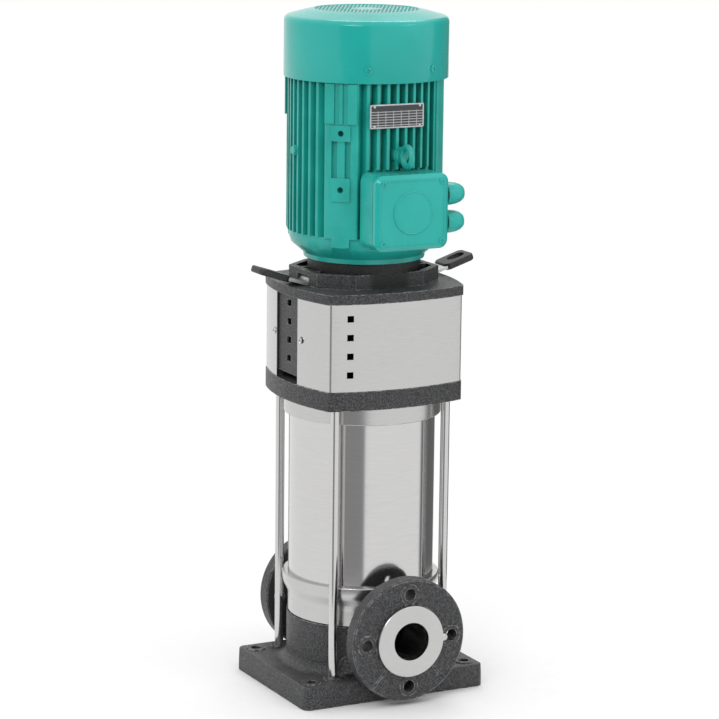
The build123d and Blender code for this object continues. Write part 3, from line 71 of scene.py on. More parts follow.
class Graph:
    """A node tree being wired, one call for each node."""

    def __init__(self, tree):
        self.tree = tree
        tree.nodes.clear()

    def feed(self, socket, value):
        if isinstance(value, bpy.types.NodeSocket):
            self.tree.links.new(value, socket)
        else:
            socket.default_value = value

    def node(self, kind, inputs=None, **settings):
        made = self.tree.nodes.new(kind)
        for name, value in settings.items():
            setattr(made, name, value)
        for key, value in (inputs or {}).items():
            self.feed(made.inputs[key], value)
        return made

    def group(self, tree, **inputs):
        named = {key.replace("_", " "): value for key, value in inputs.items()}
        return self.node("ShaderNodeGroup", named, node_tree=tree).outputs

    def math(self, operation, *values, clamp=False):
        inputs = dict(enumerate(values))
        return self.node("ShaderNodeMath", inputs, operation=operation, use_clamp=clamp).outputs[0]

    def times(self, first, *others, clamp=False):
        for other in others:
            first = self.math("MULTIPLY", first, other, clamp=clamp)
        return first

    def rest(self, value, clamp=False):
        """What is left of one when the value is taken away."""
        return self.math("SUBTRACT", 1.0, value, clamp=clamp)

    def diagonal(self, first, second):
        squares = self.math("ADD", self.times(first, first), self.times(second, second))
        return self.math("SQRT", squares)

    def blend(self, share, first, second):
        made = self.node("ShaderNodeMix", data_type="RGBA")
        for index, value in ((0, share), (6, first), (7, second)):
            self.feed(made.inputs[index], value)
        return made.outputs[2]

    def ramp(self, value, low, high, to_low=0.0, to_high=1.0):
        inputs = {"Value": value, "From Min": low, "From Max": high, "To Min": to_low, "To Max": to_high}
        return self.node("ShaderNodeMapRange", inputs, interpolation_type="SMOOTHSTEP").outputs[0]

    def share(self, value, low, high):
        inputs = {"Value": value, "From Min": low, "From Max": high}
        return self.node("ShaderNodeMapRange", inputs).outputs[0]

    def place(self):
        return self.node("ShaderNodeTexCoord").outputs["Object"]

    def axes(self, vector):
        return self.node("ShaderNodeSeparateXYZ", {0: vector}).outputs

    def vector(self, **parts):
        return self.node("ShaderNodeCombineXYZ", parts).outputs[0]

    def noise(self, vector, scale, detail=4.0, roughness=0.55):
        inputs = {"Vector": vector, "Scale": scale, "Detail": detail, "Roughness": roughness}
        return self.node("ShaderNodeTexNoise", inputs).outputs["Fac"]


def shader_group(name, inputs, outputs):
    """A shader group with named sockets. Returns its graph, its inputs and its output sockets."""
    tree = bpy.data.node_groups.new(name, "ShaderNodeTree")
    for label, value in inputs.items():
        kind = "NodeSocketVector" if isinstance(value, tuple) else "NodeSocketFloat"
        tree.interface.new_socket(label, in_out="INPUT", socket_type=kind).default_value = value
    for label in outputs:
        tree.interface.new_socket(label, in_out="OUTPUT", socket_type="NodeSocketFloat")
    graph = Graph(tree)
    return graph, graph.node("NodeGroupInput").outputs, graph.node("NodeGroupOutput").inputs


def cast_grain_group():
    """Sand-cast skin: fine grain, shallow pits and slow waves."""
    inputs = {"Scale": 900.0, "Pitting": 0.4}
    graph, given, made = shader_group("cast_grain", inputs, ("Height", "Speckle", "Waves"))
    spot = graph.place()
    wave_scale, cell_scale = (graph.times(given["Scale"], part) for part in (0.06, 0.55))
    grain = graph.noise(spot, given["Scale"], 5.0, 0.65)
    waves = graph.noise(spot, wave_scale, 3.0, 0.5)
    cells = graph.node("ShaderNodeTexVoronoi", {"Vector": spot, "Scale": cell_scale})
    pits = graph.times(graph.ramp(cells.outputs["Distance"], 0.05, 0.42), given["Pitting"])
    graph.feed(made["Height"], graph.math("ADD", graph.math("MULTIPLY_ADD", waves, 0.8, grain), pits))
    graph.feed(made["Speckle"], graph.ramp(grain, 0.4, 0.68))
    graph.feed(made["Waves"], graph.ramp(waves, 0.3, 0.7))
    return graph.tree


def orange_peel_group():
    """Sprayed enamel: a fine skin over slow tone changes."""
    graph, given, made = shader_group("orange_peel", {"Scale": 260.0}, ("Height", "Tone"))
    spot = graph.place()
    graph.feed(made["Height"], graph.noise(spot, given["Scale"], 2.0, 0.5))
    graph.feed(made["Tone"], graph.ramp(graph.noise(spot, 14.0, 3.0, 0.5), 0.3, 0.7))
    return graph.tree


def edge_wear_group():
    """Mask of rubbed edges, broken up so that it is never an even line."""
    inputs = {"Radius": 0.0012, "Amount": 1.0, "Breakup": 160.0}
    graph, given, made = shader_group("edge_wear", inputs, ("Mask",))
    soft = graph.node("ShaderNodeBevel", {"Radius": given["Radius"]}, samples=4).outputs[0]
    true = graph.node("ShaderNodeNewGeometry").outputs["Normal"]
    alike = graph.node("ShaderNodeVectorMath", {0: soft, 1: true}, operation="DOT_PRODUCT").outputs["Value"]
    turned = graph.ramp(graph.rest(alike), 0.012, 0.13)
    broken = graph.ramp(graph.noise(graph.place(), given["Breakup"], 4.0, 0.6), 0.42, 0.62)
    graph.feed(made["Mask"], graph.times(turned, broken, given["Amount"], clamp=True))
    return graph.tree


def brushed_group():
    """Drawn lines of brushed metal: noise stretched along the stroke."""
    inputs = {"Stretch": (1.0, 1.0, 1.0), "Scale": 600.0}
    graph, given, made = shader_group("brushed", inputs, ("Height", "Streak", "Tone"))
    spot = graph.place()
    long = graph.node("ShaderNodeVectorMath", {0: spot, 1: given["Stretch"]}, operation="MULTIPLY").outputs[0]
    lines = graph.noise(long, given["Scale"], 3.0, 0.6)
    graph.feed(made["Height"], lines)
    graph.feed(made["Streak"], graph.ramp(lines, 0.35, 0.68))
    graph.feed(made["Tone"], graph.ramp(graph.noise(spot, 18.0, 3.0, 0.5), 0.3, 0.7))
    return graph.tree


def dust_group():
    """Fine dust on faces that look up, patchy."""
    graph, given, made = shader_group("dust", {"Scale": 40.0, "Amount": 0.3}, ("Mask",))
    normal = graph.node("ShaderNodeNewGeometry").outputs["Normal"]
    upward = graph.ramp(graph.axes(normal)["Z"], 0.3, 0.95)
    patch = graph.ramp(graph.noise(graph.place(), given["Scale"], 5.0, 0.6), 0.3, 0.75)
    graph.feed(made["Mask"], graph.times(upward, patch, given["Amount"]))
    return graph.tree


CAST_GRAIN = cast_grain_group()
ORANGE_PEEL = orange_peel_group()
EDGE_WEAR = edge_wear_group()
BRUSHED = brushed_group()
DUST = dust_group()


# ---------------------------------------------------------------- materials

def tone(red, green, blue):
    return (red, green, blue, 1.0)


def grey(value):
    return tone(value, value, value)


RUBBED_TEAL = tone(0.1, 0.5, 0.45)
DUSTY_TEAL = tone(0.4, 0.5, 0.48)


def surface(name, **fixed):
    """A material with a Principled shader whose even values sit on its own sockets."""
    material = bpy.data.materials.new(name)
    material.use_nodes = True
    graph = Graph(material.node_tree)
    ends = graph.node("ShaderNodeOutputMaterial")
    named = {key.replace("_", " "): value for key, value in fixed.items()}
    shader = graph.node("ShaderNodeBsdfPrincipled", named)
    graph.feed(ends.inputs["Surface"], shader.outputs[0])
    return material, graph, shader.inputs


def relief(graph, sockets, height, depth):
    bump = graph.node("ShaderNodeBump", {"Height": height, "Strength": 1.0, "Distance": depth})
    graph.feed(sockets["Normal"], bump.outputs[0])


def painted_seat_shade(graph, radius, height, soft=0.004):
    """Mask of painted shade: what lies within a radius of the shaft's axis and above a height."""
    axes = graph.axes(graph.place())
    within = graph.ramp(graph.diagonal(axes["X"], axes["Y"]), radius, radius + soft, 1.0, 0.0)
    return graph.times(within, graph.ramp(axes["Z"], height, height + soft))


def black_casting(name, painted_shade=None):
    """Black primed casting. An optional radius and height bound a patch of painted shade, darkened nearly to
    black.
    """
    material, graph, sockets = surface(name, Specular_IOR_Level=0.45)
    grain = graph.group(CAST_GRAIN, Scale=520.0, Pitting=0.7)
    rubbed = graph.group(EDGE_WEAR, Radius=0.002, Amount=1.0)["Mask"]
    dusty = graph.group(DUST, Scale=30.0, Amount=0.2)["Mask"]
    skin = graph.blend(grain["Speckle"], tone(0.013, 0.0135, 0.015), tone(0.1, 0.101, 0.105))
    skin = graph.blend(graph.times(grain["Waves"], 0.3), skin, tone(0.035, 0.035, 0.037))
    skin = graph.blend(rubbed, skin, tone(0.42, 0.42, 0.43))
    # painted shade: the deep motor seat inside the ring is darkened nearly to black, standing in for the
    # motor's shadow there
    if painted_shade:
        skin = graph.blend(graph.times(painted_seat_shade(graph, *painted_shade), 0.85), skin, grey(0.004))
    graph.feed(sockets["Base Color"], graph.blend(dusty, skin, tone(0.24, 0.24, 0.235)))
    graph.feed(sockets["Roughness"], graph.ramp(grain["Speckle"], 0.0, 1.0, 0.5, 0.36))
    relief(graph, sockets, grain["Height"], 0.0005)
    return material


def teal_enamel(name, peel, depth, rough):
    """Sprayed teal paint with a clear gloss."""
    material, graph, sockets = surface(name, Coat_Roughness=0.06, Specular_IOR_Level=0.3)
    skin = graph.group(ORANGE_PEEL, Scale=peel)
    rubbed = graph.group(EDGE_WEAR, Radius=0.001, Amount=0.5)["Mask"]
    dusty = graph.group(DUST, Scale=26.0, Amount=0.1)["Mask"]
    colour = graph.blend(skin["Tone"], tone(0.011, 0.405, 0.355), tone(0.014, 0.44, 0.39))
    colour = graph.blend(rubbed, colour, RUBBED_TEAL)
    graph.feed(sockets["Base Color"], graph.blend(dusty, colour, DUSTY_TEAL))
    graph.feed(sockets["Roughness"], graph.ramp(skin["Tone"], 0.0, 1.0, rough, rough + 0.08))
    graph.feed(sockets["Coat Weight"], graph.ramp(skin["Tone"], 0.0, 1.0, 0.22, 0.32))
    relief(graph, sockets, skin["Height"], depth)
    return material


def teal_casting():
    """The same paint over a finely cast skin."""
    material, graph, sockets = surface("teal_casting", Coat_Roughness=0.08, Specular_IOR_Level=0.35)
    grain = graph.group(CAST_GRAIN, Scale=420.0, Pitting=0.15)
    rubbed = graph.group(EDGE_WEAR, Radius=0.001, Amount=0.6)["Mask"]
    dusty = graph.group(DUST, Scale=30.0, Amount=0.12)["Mask"]
    colour = graph.blend(grain["Waves"], tone(0.01, 0.35, 0.298), tone(0.014, 0.415, 0.36))
    colour = graph.blend(rubbed, colour, RUBBED_TEAL)
    graph.feed(sockets["Base Color"], graph.blend(dusty, colour, DUSTY_TEAL))
    graph.feed(sockets["Roughness"], graph.ramp(grain["Speckle"], 0.0, 1.0, 0.3, 0.42))
    graph.feed(sockets["Coat Weight"], graph.ramp(grain["Waves"], 0.0, 1.0, 0.2, 0.32))
    relief(graph, sockets, grain["Height"], 0.0001)
    return material


def steel(name, bright, dull, rough, stretch, scale, depth):
    """Bright metal with drawn lines, rough as (between the lines, in the lines)."""
    material, graph, sockets = surface(name, Metallic=1.0)
    lines = graph.group(BRUSHED, Stretch=stretch, Scale=scale)
    rubbed = graph.group(EDGE_WEAR, Radius=0.0008, Amount=0.5)["Mask"]
    colour = graph.blend(lines["Streak"], dull, bright)
    colour = graph.blend(graph.times(lines["Tone"], 0.25), colour, bright)
    graph.feed(sockets["Base Color"], graph.blend(rubbed, colour, grey(0.86)))
    graph.feed(sockets["Roughness"], graph.ramp(lines["Streak"], 0.0, 1.0, rough[1], rough[0]))
    relief(graph, sockets, lines["Height"], depth)
    return material


def moulding(name, dark, pale, rough, scale, depth):
    """Moulded plastic or rubber with a spark-eroded grain."""
    material, graph, sockets = surface(name)
    grain = graph.group(CAST_GRAIN, Scale=scale, Pitting=0.2)
    rubbed = graph.group(EDGE_WEAR, Radius=0.0008, Amount=0.4)["Mask"]
    worn = tone(*((part + 0.4) / 2.0 for part in pale[:3]))
    colour = graph.blend(grain["Waves"], dark, pale)
    graph.feed(sockets["Base Color"], graph.blend(rubbed, colour, worn))
    graph.feed(sockets["Roughness"], graph.ramp(grain["Speckle"], 0.0, 1.0, rough, rough + 0.15))
    relief(graph, sockets, grain["Height"], depth)
    return material


def winding_copper():
    material, graph, sockets = surface("winding_copper", Metallic=0.6)
    lines = graph.group(BRUSHED, Stretch=(1.0, 1.0, 0.05), Scale=1400.0)
    colour = graph.blend(lines["Streak"], tone(0.2, 0.06, 0.02), tone(0.5, 0.2, 0.08))
    graph.feed(sockets["Base Color"], colour)
    graph.feed(sockets["Roughness"], graph.ramp(lines["Tone"], 0.0, 1.0, 0.25, 0.45))
    relief(graph, sockets, lines["Height"], 0.0004)
    return material


def ruled_field(graph, rows=9.0, row_line=0.3, columns=7.0, cell_line=0.09, heading=0.72):
    """Mask of the rating plate's dark field: whole above the heading, ruled in cells below."""
    low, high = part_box("nameplate")
    axes = graph.axes(graph.place())
    across = graph.share(axes["X"], low.x, high.x)
    up = graph.share(axes["Z"], low.z, high.z)
    from_middle = [graph.math("ABSOLUTE", graph.math("SUBTRACT", way, 0.5)) for way in (across, up)]
    inside = [graph.math("LESS_THAN", way, edge) for way, edge in zip(from_middle, (0.475, 0.44))]
    in_row = graph.math("LESS_THAN", graph.math("FRACT", graph.times(up, rows)), row_line)
    in_cell = graph.math("LESS_THAN", graph.math("FRACT", graph.times(across, columns)), cell_line)
    below = graph.rest(graph.math("GREATER_THAN", up, heading))
    ruled = graph.times(graph.math("MAXIMUM", in_row, in_cell), below)
    return graph.times(*inside, graph.rest(graph.times(ruled, 0.8)))


def etched_plate():
    """Rating plate: bright border, a dark field ruled into rows and cells, with no lettering."""
    material, graph, sockets = surface("etched_plate", Metallic=0.85)
    dark = ruled_field(graph)
    lines = graph.group(BRUSHED, Stretch=(0.05, 1.0, 1.0), Scale=1600.0)
    metal = graph.blend(lines["Streak"], grey(0.42), tone(0.62, 0.62, 0.61))
    graph.feed(sockets["Base Color"], graph.blend(dark, metal, tone(0.07, 0.075, 0.08)))
    graph.feed(sockets["Roughness"], graph.ramp(lines["Streak"], 0.0, 1.0, 0.42, 0.3))
    relief(graph, sockets, dark, -0.00005)
    return material


FINISHES = {
    "cast_iron_dark": black_casting("black_casting"),
    "stainless_brushed": steel(
        "brushed_stainless", bright=tone(0.575, 0.57, 0.567), dull=tone(0.545, 0.54, 0.537),
        rough=(0.22, 0.27), stretch=(0.03, 0.03, 1.0), scale=2200.0, depth=0.000001),
    "stainless_polished": steel(
        "polished_stainless", bright=tone(0.635, 0.628, 0.626), dull=tone(0.6, 0.593, 0.591),
        rough=(0.1, 0.14), stretch=(0.02, 0.02, 1.0), scale=1500.0, depth=0.0000008),
    "stainless_inner": steel(
        "pressed_stainless", bright=tone(0.6, 0.6, 0.59), dull=tone(0.45, 0.45, 0.44),
        rough=(0.22, 0.35), stretch=(1.0, 1.0, 0.1), scale=900.0, depth=0.00002),
    "elastomer": moulding(
        "black_rubber", dark=grey(0.015), pale=grey(0.03), rough=0.6, scale=1400.0, depth=0.00005),
    "carbide": moulding(
        "lapped_carbide", dark=tone(0.05, 0.05, 0.055), pale=tone(0.1, 0.1, 0.11),
        rough=0.2, scale=2500.0, depth=0.00001),
    "zinc_steel": steel(
        "bright_zinc", bright=tone(0.62, 0.63, 0.62), dull=tone(0.5, 0.51, 0.5),
        rough=(0.16, 0.28), stretch=(1.0, 1.0, 0.2), scale=1100.0, depth=0.000004),
    "steel_machined": steel(
        "turned_steel", bright=tone(0.5, 0.5, 0.49), dull=tone(0.36, 0.36, 0.35),
        rough=(0.22, 0.38), stretch=(0.03, 0.03, 1.0), scale=1800.0, depth=0.00001),
    "copper_winding": winding_copper(),
    "paint_teal": teal_casting(),
    "plastic_teal": teal_enamel("teal_moulding", peel=380.0, depth=0.00003, rough=0.3),
    "plastic_black": moulding(
        "black_moulding", dark=tone(0.012, 0.012, 0.013), pale=tone(0.024, 0.024, 0.025),
        rough=0.38, scale=1600.0, depth=0.00006),
    "plastic_grey": moulding(
        "grey_moulding", dark=grey(0.08), pale=grey(0.12), rough=0.45, scale=1300.0, depth=0.00005),
    "nameplate_metal": etched_plate(),
}
SMOOTH_TEAL = teal_enamel("teal_enamel", peel=230.0, depth=0.00004, rough=0.2)
# the lantern's casting, with painted shade on the motor seat inside the ring
SHADED_SEAT_CASTING = black_casting("seat_casting_painted_shade", painted_shade=(0.078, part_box("motor_flange")[0].z - 0.036))
SATIN_STEEL = steel("satin_steel", bright=grey(0.62), dull=grey(0.54), rough=(0.42, 0.52),
                    stretch=(1.0, 0.1, 1.0), scale=1200.0, depth=0.000004)


# ---------------------------------------------------------------- meshes

SLOT_OF = {name: node.material_slots[0].name for name, node in frame["nodes"].items()}


def placed_object(name, data):
    made = bpy.data.objects.new(name, data)
    bpy.context.scene.collection.objects.link(made)
    return made


def plain_mesh(holder):
    """The mesh of an object with its modifiers worked in. The object goes."""
    evaluated = holder.evaluated_get(bpy.context.evaluated_depsgraph_get())
    result = bpy.data.meshes.new_from_object(evaluated)
    bpy.data.objects.remove(holder)
    return result


def finish_piece(mesh, name, body, slot, material=None):
    """A visible piece on its body, in the slot's finish unless another is given."""
    piece = placed_object(name, mesh)
    mesh.materials.clear()
    mesh.materials.append(material or FINISHES[slot])
    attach(piece, body)
    return piece


def smooth_mesh(mesh, angle=32.0):
    for face in mesh.polygons:
        face.use_smooth = True
    mesh.set_sharp_from_angle(angle=math.radians(angle))


def merged_copy(node):
    """A node's triangles joined at their shared corners, flat faces made whole."""
    source = frame["nodes"][node].data
    mesh = bpy.data.meshes.new(node + "_skin")
    mesh.from_pydata([v.co for v in source.vertices], [], [tuple(f.vertices) for f in source.polygons])
    work = bmesh.new()
    work.from_mesh(mesh)
    bmesh.ops.remove_doubles(work, verts=work.verts, dist=2e-6)
    bmesh.ops.dissolve_limit(work, angle_limit=math.radians(0.4), verts=work.verts, edges=work.edges)
    work.to_mesh(mesh)
    work.free()
    return mesh


def rounded(mesh, width, segments):
    """The mesh with its sharp edges rounded, as a new mesh."""
    holder = placed_object("rounding", mesh)
    bevel = holder.modifiers.new("round", "BEVEL")
    bevel.width = width
    bevel.segments = segments
    bevel.limit_method = "ANGLE"
    bevel.angle_limit = math.radians(34)
    bevel.harden_normals = True
    bevel.use_clamp_overlap = True
    return plain_mesh(holder)


def full_turn(parts):
    return [2.0 * math.pi * index / parts for index in range(parts)]


def arc(middle, radius, first, last, steps):
    turns = [math.radians(first + (last - first) * step / steps) for step in range(steps + 1)]
    return [(middle[0] + radius * math.cos(turn), middle[1] + radius * math.sin(turn)) for turn in turns]


def join_loops(work, loops):
    """Faces between each closed loop of corners and the next, the last loop meeting the first."""
    for first, second in zip(loops, loops[1:] + loops[:1]):
        for index in range(len(first)):
            after = (index + 1) % len(first)
            work.faces.new((first[index], second[index], second[after], first[after]))


def outward_mesh(work, name, angle=32.0):
    """The working mesh under a name, its normals outwards, smooth below the angle."""
    bmesh.ops.recalc_face_normals(work, faces=work.faces)
    mesh = bpy.data.meshes.new(name)
    work.to_mesh(mesh)
    work.free()
    smooth_mesh(mesh, angle)
    return mesh


def soft_edged(work, name, width):
    """The working mesh under a name, its corners joined and its edges softened."""
    bmesh.ops.remove_doubles(work, verts=work.verts, dist=1e-6)
    return rounded(outward_mesh(work, name), width, 2)


def lathed(name, profile, parts=160):
    """A closed outline of (radius, height) turned round the shaft's axis."""
    work = bmesh.new()
    join_loops(work, [[work.verts.new((r * math.cos(turn), r * math.sin(turn), z)) for r, z in profile]
                      for turn in full_turn(parts)])
    return outward_mesh(work, name, 40.0)


# ---------------------------------------------------------------- repeated pieces

def form_group(name, inputs):
    """A geometry tree with named inputs. Returns its graph, its inputs and its one output socket."""
    tree = bpy.data.node_groups.new(name, "GeometryNodeTree")
    kinds = {float: "NodeSocketFloat", str: "NodeSocketMaterial"}
    tree.interface.new_socket("Geometry", in_out="INPUT", socket_type="NodeSocketGeometry")
    for label, value in inputs.items():
        socket = tree.interface.new_socket(label, in_out="INPUT", socket_type=kinds[type(value)])
        if isinstance(value, float):
            socket.default_value = value
    tree.interface.new_socket("Geometry", in_out="OUTPUT", socket_type="NodeSocketGeometry")
    graph = Graph(tree)
    return graph, graph.node("NodeGroupInput").outputs, graph.node("NodeGroupOutput").inputs[0]


def here(graph):
    return graph.node("GeometryNodeInputPosition").outputs[0]


def joined(graph, *pieces):
    made = graph.node("GeometryNodeJoinGeometry")
    for piece in pieces:
        graph.tree.links.new(piece.outputs[0], made.inputs[0])
    return made


def close_form(graph, made, form, finish):
    """The end of a geometry tree: real geometry in its material."""
    whole = graph.node("GeometryNodeRealizeInstances", {0: form.outputs[0]})
    finished = graph.node("GeometryNodeSetMaterial", {0: whole.outputs[0], "Material": finish})
    graph.feed(made, finished.outputs[0])


def grown(mesh, tree, values):
    """The plain mesh that a geometry tree makes of the given one."""
    holder = placed_object("growing", mesh)
    modifier = holder.modifiers.new("form", "NODES")
    modifier.node_group = tree
    for item in tree.interface.items_tree:
        if item.in_out == "INPUT" and item.name in values:
            modifier[item.identifier] = values[item.name]
    result = plain_mesh(holder)
    if "facing" in result.attributes:
        result.attributes.remove(result.attributes["facing"])
    return result


def cylinder(graph, vertices, radius, depth, fill_segments, fill="NGON"):
    inputs = {"Vertices": vertices, "Side Segments": 1, "Fill Segments": fill_segments,
              "Radius": radius, "Depth": depth}
    return graph.node("GeometryNodeMeshCylinder", inputs, fill_type=fill).outputs["Mesh"]


def lifted(graph, geometry, rise):
    inputs = {"Geometry": geometry, "Translation": graph.vector(Z=rise)}
    return graph.node("GeometryNodeTransform", inputs)


def screw_tree():
    """A domed head with a cross recess, and its shank, on every given point."""
    inputs = {"Head Radius": 0.004, "Head Height": 0.002, "Dome": 0.0006, "Recess": 0.0012,
              "Shank Radius": 0.002, "Shank Length": 0.009, "Finish": ""}
    graph, given, made = form_group("cross_recess_screw", inputs)
    radius, height = given["Head Radius"], given["Head Height"]
    blank = cylinder(graph, 40, radius, height, 10, "TRIANGLE_FAN")
    spot = graph.axes(here(graph))
    across, along = (graph.math("ABSOLUTE", spot[axis]) for axis in ("X", "Y"))
    part = graph.math("DIVIDE", graph.diagonal(across, along), radius)
    sunk = graph.times(part, part, given["Dome"])
    arm = graph.math("LESS_THAN", graph.math("MINIMUM", across, along), graph.times(radius, 0.15))
    near = graph.math("LESS_THAN", part, 0.62)
    drop = graph.times(graph.math("ADD", sunk, graph.times(arm, near, given["Recess"])), -1.0)
    upper = graph.math("GREATER_THAN", spot["Z"], 0.0)
    shaped = graph.node("GeometryNodeSetPosition", {
        "Geometry": blank, "Selection": upper, "Offset": graph.vector(Z=drop)})
    head = lifted(graph, shaped.outputs[0], graph.times(height, 0.5))
    shank = cylinder(graph, 20, given["Shank Radius"], given["Shank Length"], 1)
    shank = lifted(graph, shank, graph.times(given["Shank Length"], -0.5))
    screw = joined(graph, head, shank)
    facing = graph.node("GeometryNodeInputNamedAttribute", {"Name": "facing"}, data_type="FLOAT_VECTOR")
    turned = graph.node("FunctionNodeAlignRotationToVector", {"Vector": facing.outputs[0]}, axis="Z")
    placed = graph.node("GeometryNodeInstanceOnPoints", {
        "Points": given["Geometry"], "Instance": screw.outputs[0], "Rotation": turned.outputs[0]})
    close_form(graph, made, placed, given["Finish"])
    return graph.tree


def hexagon_cells(graph, pitch, radius):
    """A flat sheet of hexagons wider than the radius, from a leant grid's dual."""
    rows = graph.math("ROUND", graph.math("DIVIDE", graph.times(radius, 2.4), pitch))
    columns = graph.math("ROUND", graph.math("DIVIDE", graph.times(radius, 3.4), pitch))
    width = graph.times(graph.math("SUBTRACT", columns, 1.0), pitch)
    depth = graph.times(graph.math("SUBTRACT", rows, 1.0), graph.times(pitch, math.sqrt(0.75)))
    grid = graph.node("GeometryNodeMeshGrid", {
        "Size X": width, "Size Y": depth, "Vertices X": columns, "Vertices Y": rows})
    split = graph.node("GeometryNodeTriangulate", {0: grid.outputs["Mesh"]}, quad_method="FIXED_ALTERNATE")
    lean = graph.times(graph.axes(here(graph))["Y"], math.sqrt(1.0 / 3.0))
    leant = graph.node("GeometryNodeSetPosition", {
        "Geometry": split.outputs[0], "Offset": graph.vector(X=lean)})
    return graph.node("GeometryNodeDualMesh", {"Mesh": leant.outputs[0]}).outputs[0]


def without_faces(graph, geometry, chosen):
    inputs = {"Geometry": geometry, "Selection": chosen}
    return graph.node("GeometryNodeDeleteGeometry", inputs, domain="FACE").outputs[0]


def lattice_tree():
    """A round sheet of close hexagonal openings with rounded corners, flat at height nought."""
    inputs = {"Outer Radius": 0.07, "Inner Radius": 0.02, "Pitch": 0.0056, "Opening": 0.78,
              "Thickness": 0.001, "Finish": ""}
    graph, given, made = form_group("pierced_lattice", inputs)
    cells = hexagon_cells(graph, given["Pitch"], given["Outer Radius"])
    out = graph.node("ShaderNodeVectorMath", {0: here(graph)}, operation="LENGTH").outputs["Value"]
    beyond = graph.math("MAXIMUM", graph.math("GREATER_THAN", out, given["Outer Radius"]),
                        graph.math("LESS_THAN", out, given["Inner Radius"]))
    raised = graph.node("GeometryNodeExtrudeMesh", {
        "Mesh": without_faces(graph, cells, beyond), "Offset Scale": 0.0, "Individual": True})
    scaled = graph.node("GeometryNodeScaleElements", {
        "Geometry": raised.outputs["Mesh"], "Selection": raised.outputs["Top"], "Scale": given["Opening"]})
    pierced = without_faces(graph, scaled.outputs[0], raised.outputs["Top"])
    welded = graph.node("GeometryNodeMergeByDistance", {"Geometry": pierced, "Distance": WELD})
    sheet = graph.node("GeometryNodeSubdivisionSurface", {"Mesh": welded.outputs[0], "Level": 1})
    walls = graph.node("GeometryNodeExtrudeMesh", {
        "Mesh": sheet.outputs[0], "Offset": graph.vector(Z=given["Thickness"]), "Individual": False})
    under = graph.node("GeometryNodeFlipFaces", {"Mesh": sheet.outputs[0]})
    both = joined(graph, walls, under)
    closed = graph.node("GeometryNodeMergeByDistance", {"Geometry": both.outputs[0], "Distance": WELD})
    close_form(graph, made, closed, given["Finish"])
    return graph.tree


SCREW_TREE = screw_tree()
LATTICE_TREE = lattice_tree()


def solids_of(node):
    """Each separate solid of a node as its corners and its faces' (area, centre, normal)."""
    work = bmesh.new()
    work.from_mesh(merged_copy(node))
    work.verts.index_update()
    left = {corner.index for corner in work.verts}
    solids = []
    for start in work.verts:
        if start.index not in left:
            continue
        left.remove(start.index)
        found = [start]
        for corner in found:
            for beyond in (edge.other_vert(corner) for edge in corner.link_edges):
                if beyond.index in left:
                    left.remove(beyond.index)
                    found.append(beyond)
        faces = dict.fromkeys(face for corner in found for face in corner.link_faces)
        measures = [(face.calc_area(), face.calc_center_median(), face.normal.copy()) for face in faces]
        solids.append(([corner.co.copy() for corner in found], measures))
    work.free()
    return solids


def measure_screw(corners, faces):
    """Where a plain headed screw sits: its place under the head, its axis, head and shank sizes."""
    area, top, axis = max(faces, key=lambda face: face[0])
    rises = [(corner - top).dot(axis) for corner in corners]
    reaches = [((corner - top) - axis * rise).length for corner, rise in zip(corners, rises)]
    radius = max(reaches)
    head = -min(rise for rise, reach in zip(rises, reaches) if reach > 0.95 * radius)
    shank = [reach for rise, reach in zip(rises, reaches) if rise < -head - 1e-5] or [radius * 0.5]
    return top - axis * head, axis, radius, head, max(shank), max(-min(rises) - head, 0.5 * head)


def screws(node, recess=0.6, dome=0.3, grow=1.0, finish=None):
    """Headed screws where a node has them, each with a cross recess."""
    found = [measure_screw(*solid) for solid in solids_of(node)]
    points = bpy.data.meshes.new(node + "_points")
    points.from_pydata([screw[0] for screw in found], [], [])
    facing = points.attributes.new("facing", "FLOAT_VECTOR", "POINT")
    for index, screw in enumerate(found):
        facing.data[index].vector = screw[1]
    radius, head, shank, length = found[0][2:]
    slot = SLOT_OF[node]
    values = {"Head Radius": radius * grow, "Head Height": head, "Dome": head * dome,
              "Recess": head * recess, "Shank Radius": shank, "Shank Length": length,
              "Finish": finish or FINISHES[slot]}
    mesh = grown(points, SCREW_TREE, values)
    smooth_mesh(mesh, 28.0)
    piece = finish_piece(mesh, node + "_heads", frame["nodes"][node]["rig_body"], slot, finish)
    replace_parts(piece, node)


# ---------------------------------------------------------------- the fan cover

COVER_LOW, COVER_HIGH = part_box("fan_cover")
COVER_SLOT = SLOT_OF["fan_cover"]
LIP_RADIUS = 68.0 * MM
HUB_RADIUS = 20.0 * MM


def fan_cover_skin():
    """Deep-drawn cover: rounded shoulder, shallow cone and a rolled lip round the grille."""
    radius, top, wall = COVER_HIGH.x, COVER_HIGH.z, 2.0 * MM
    shoulder, cone_rise, cone_width, roll = 8.0 * MM, 9.0 * MM, 14.0 * MM, 1.6 * MM
    bend = (radius - shoulder, top - cone_rise - shoulder * 0.85)
    outer = arc(bend, shoulder, 0.0, 78.0, 10)
    inner = arc(bend, shoulder - wall, 78.0, 0.0, 10)
    rolled = arc((LIP_RADIUS + roll, top - roll), roll, 75.0, 180.0, 6)
    under = top - 3.6 * MM
    profile = [(radius - wall, COVER_LOW.z), (radius - 0.4 * MM, COVER_LOW.z),
               (radius, COVER_LOW.z + 0.5 * MM)]
    profile += outer + [(LIP_RADIUS + cone_width, top - 2.6 * MM)] + rolled
    profile += [(LIP_RADIUS, under), (LIP_RADIUS + 3.0 * MM, under),
                (LIP_RADIUS + cone_width, top - 4.8 * MM)] + inner
    shell = finish_piece(lathed("fan_cover_skin", profile), "fan_cover_skin", "root", COVER_SLOT, SMOOTH_TEAL)
    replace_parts(shell, "fan_cover")


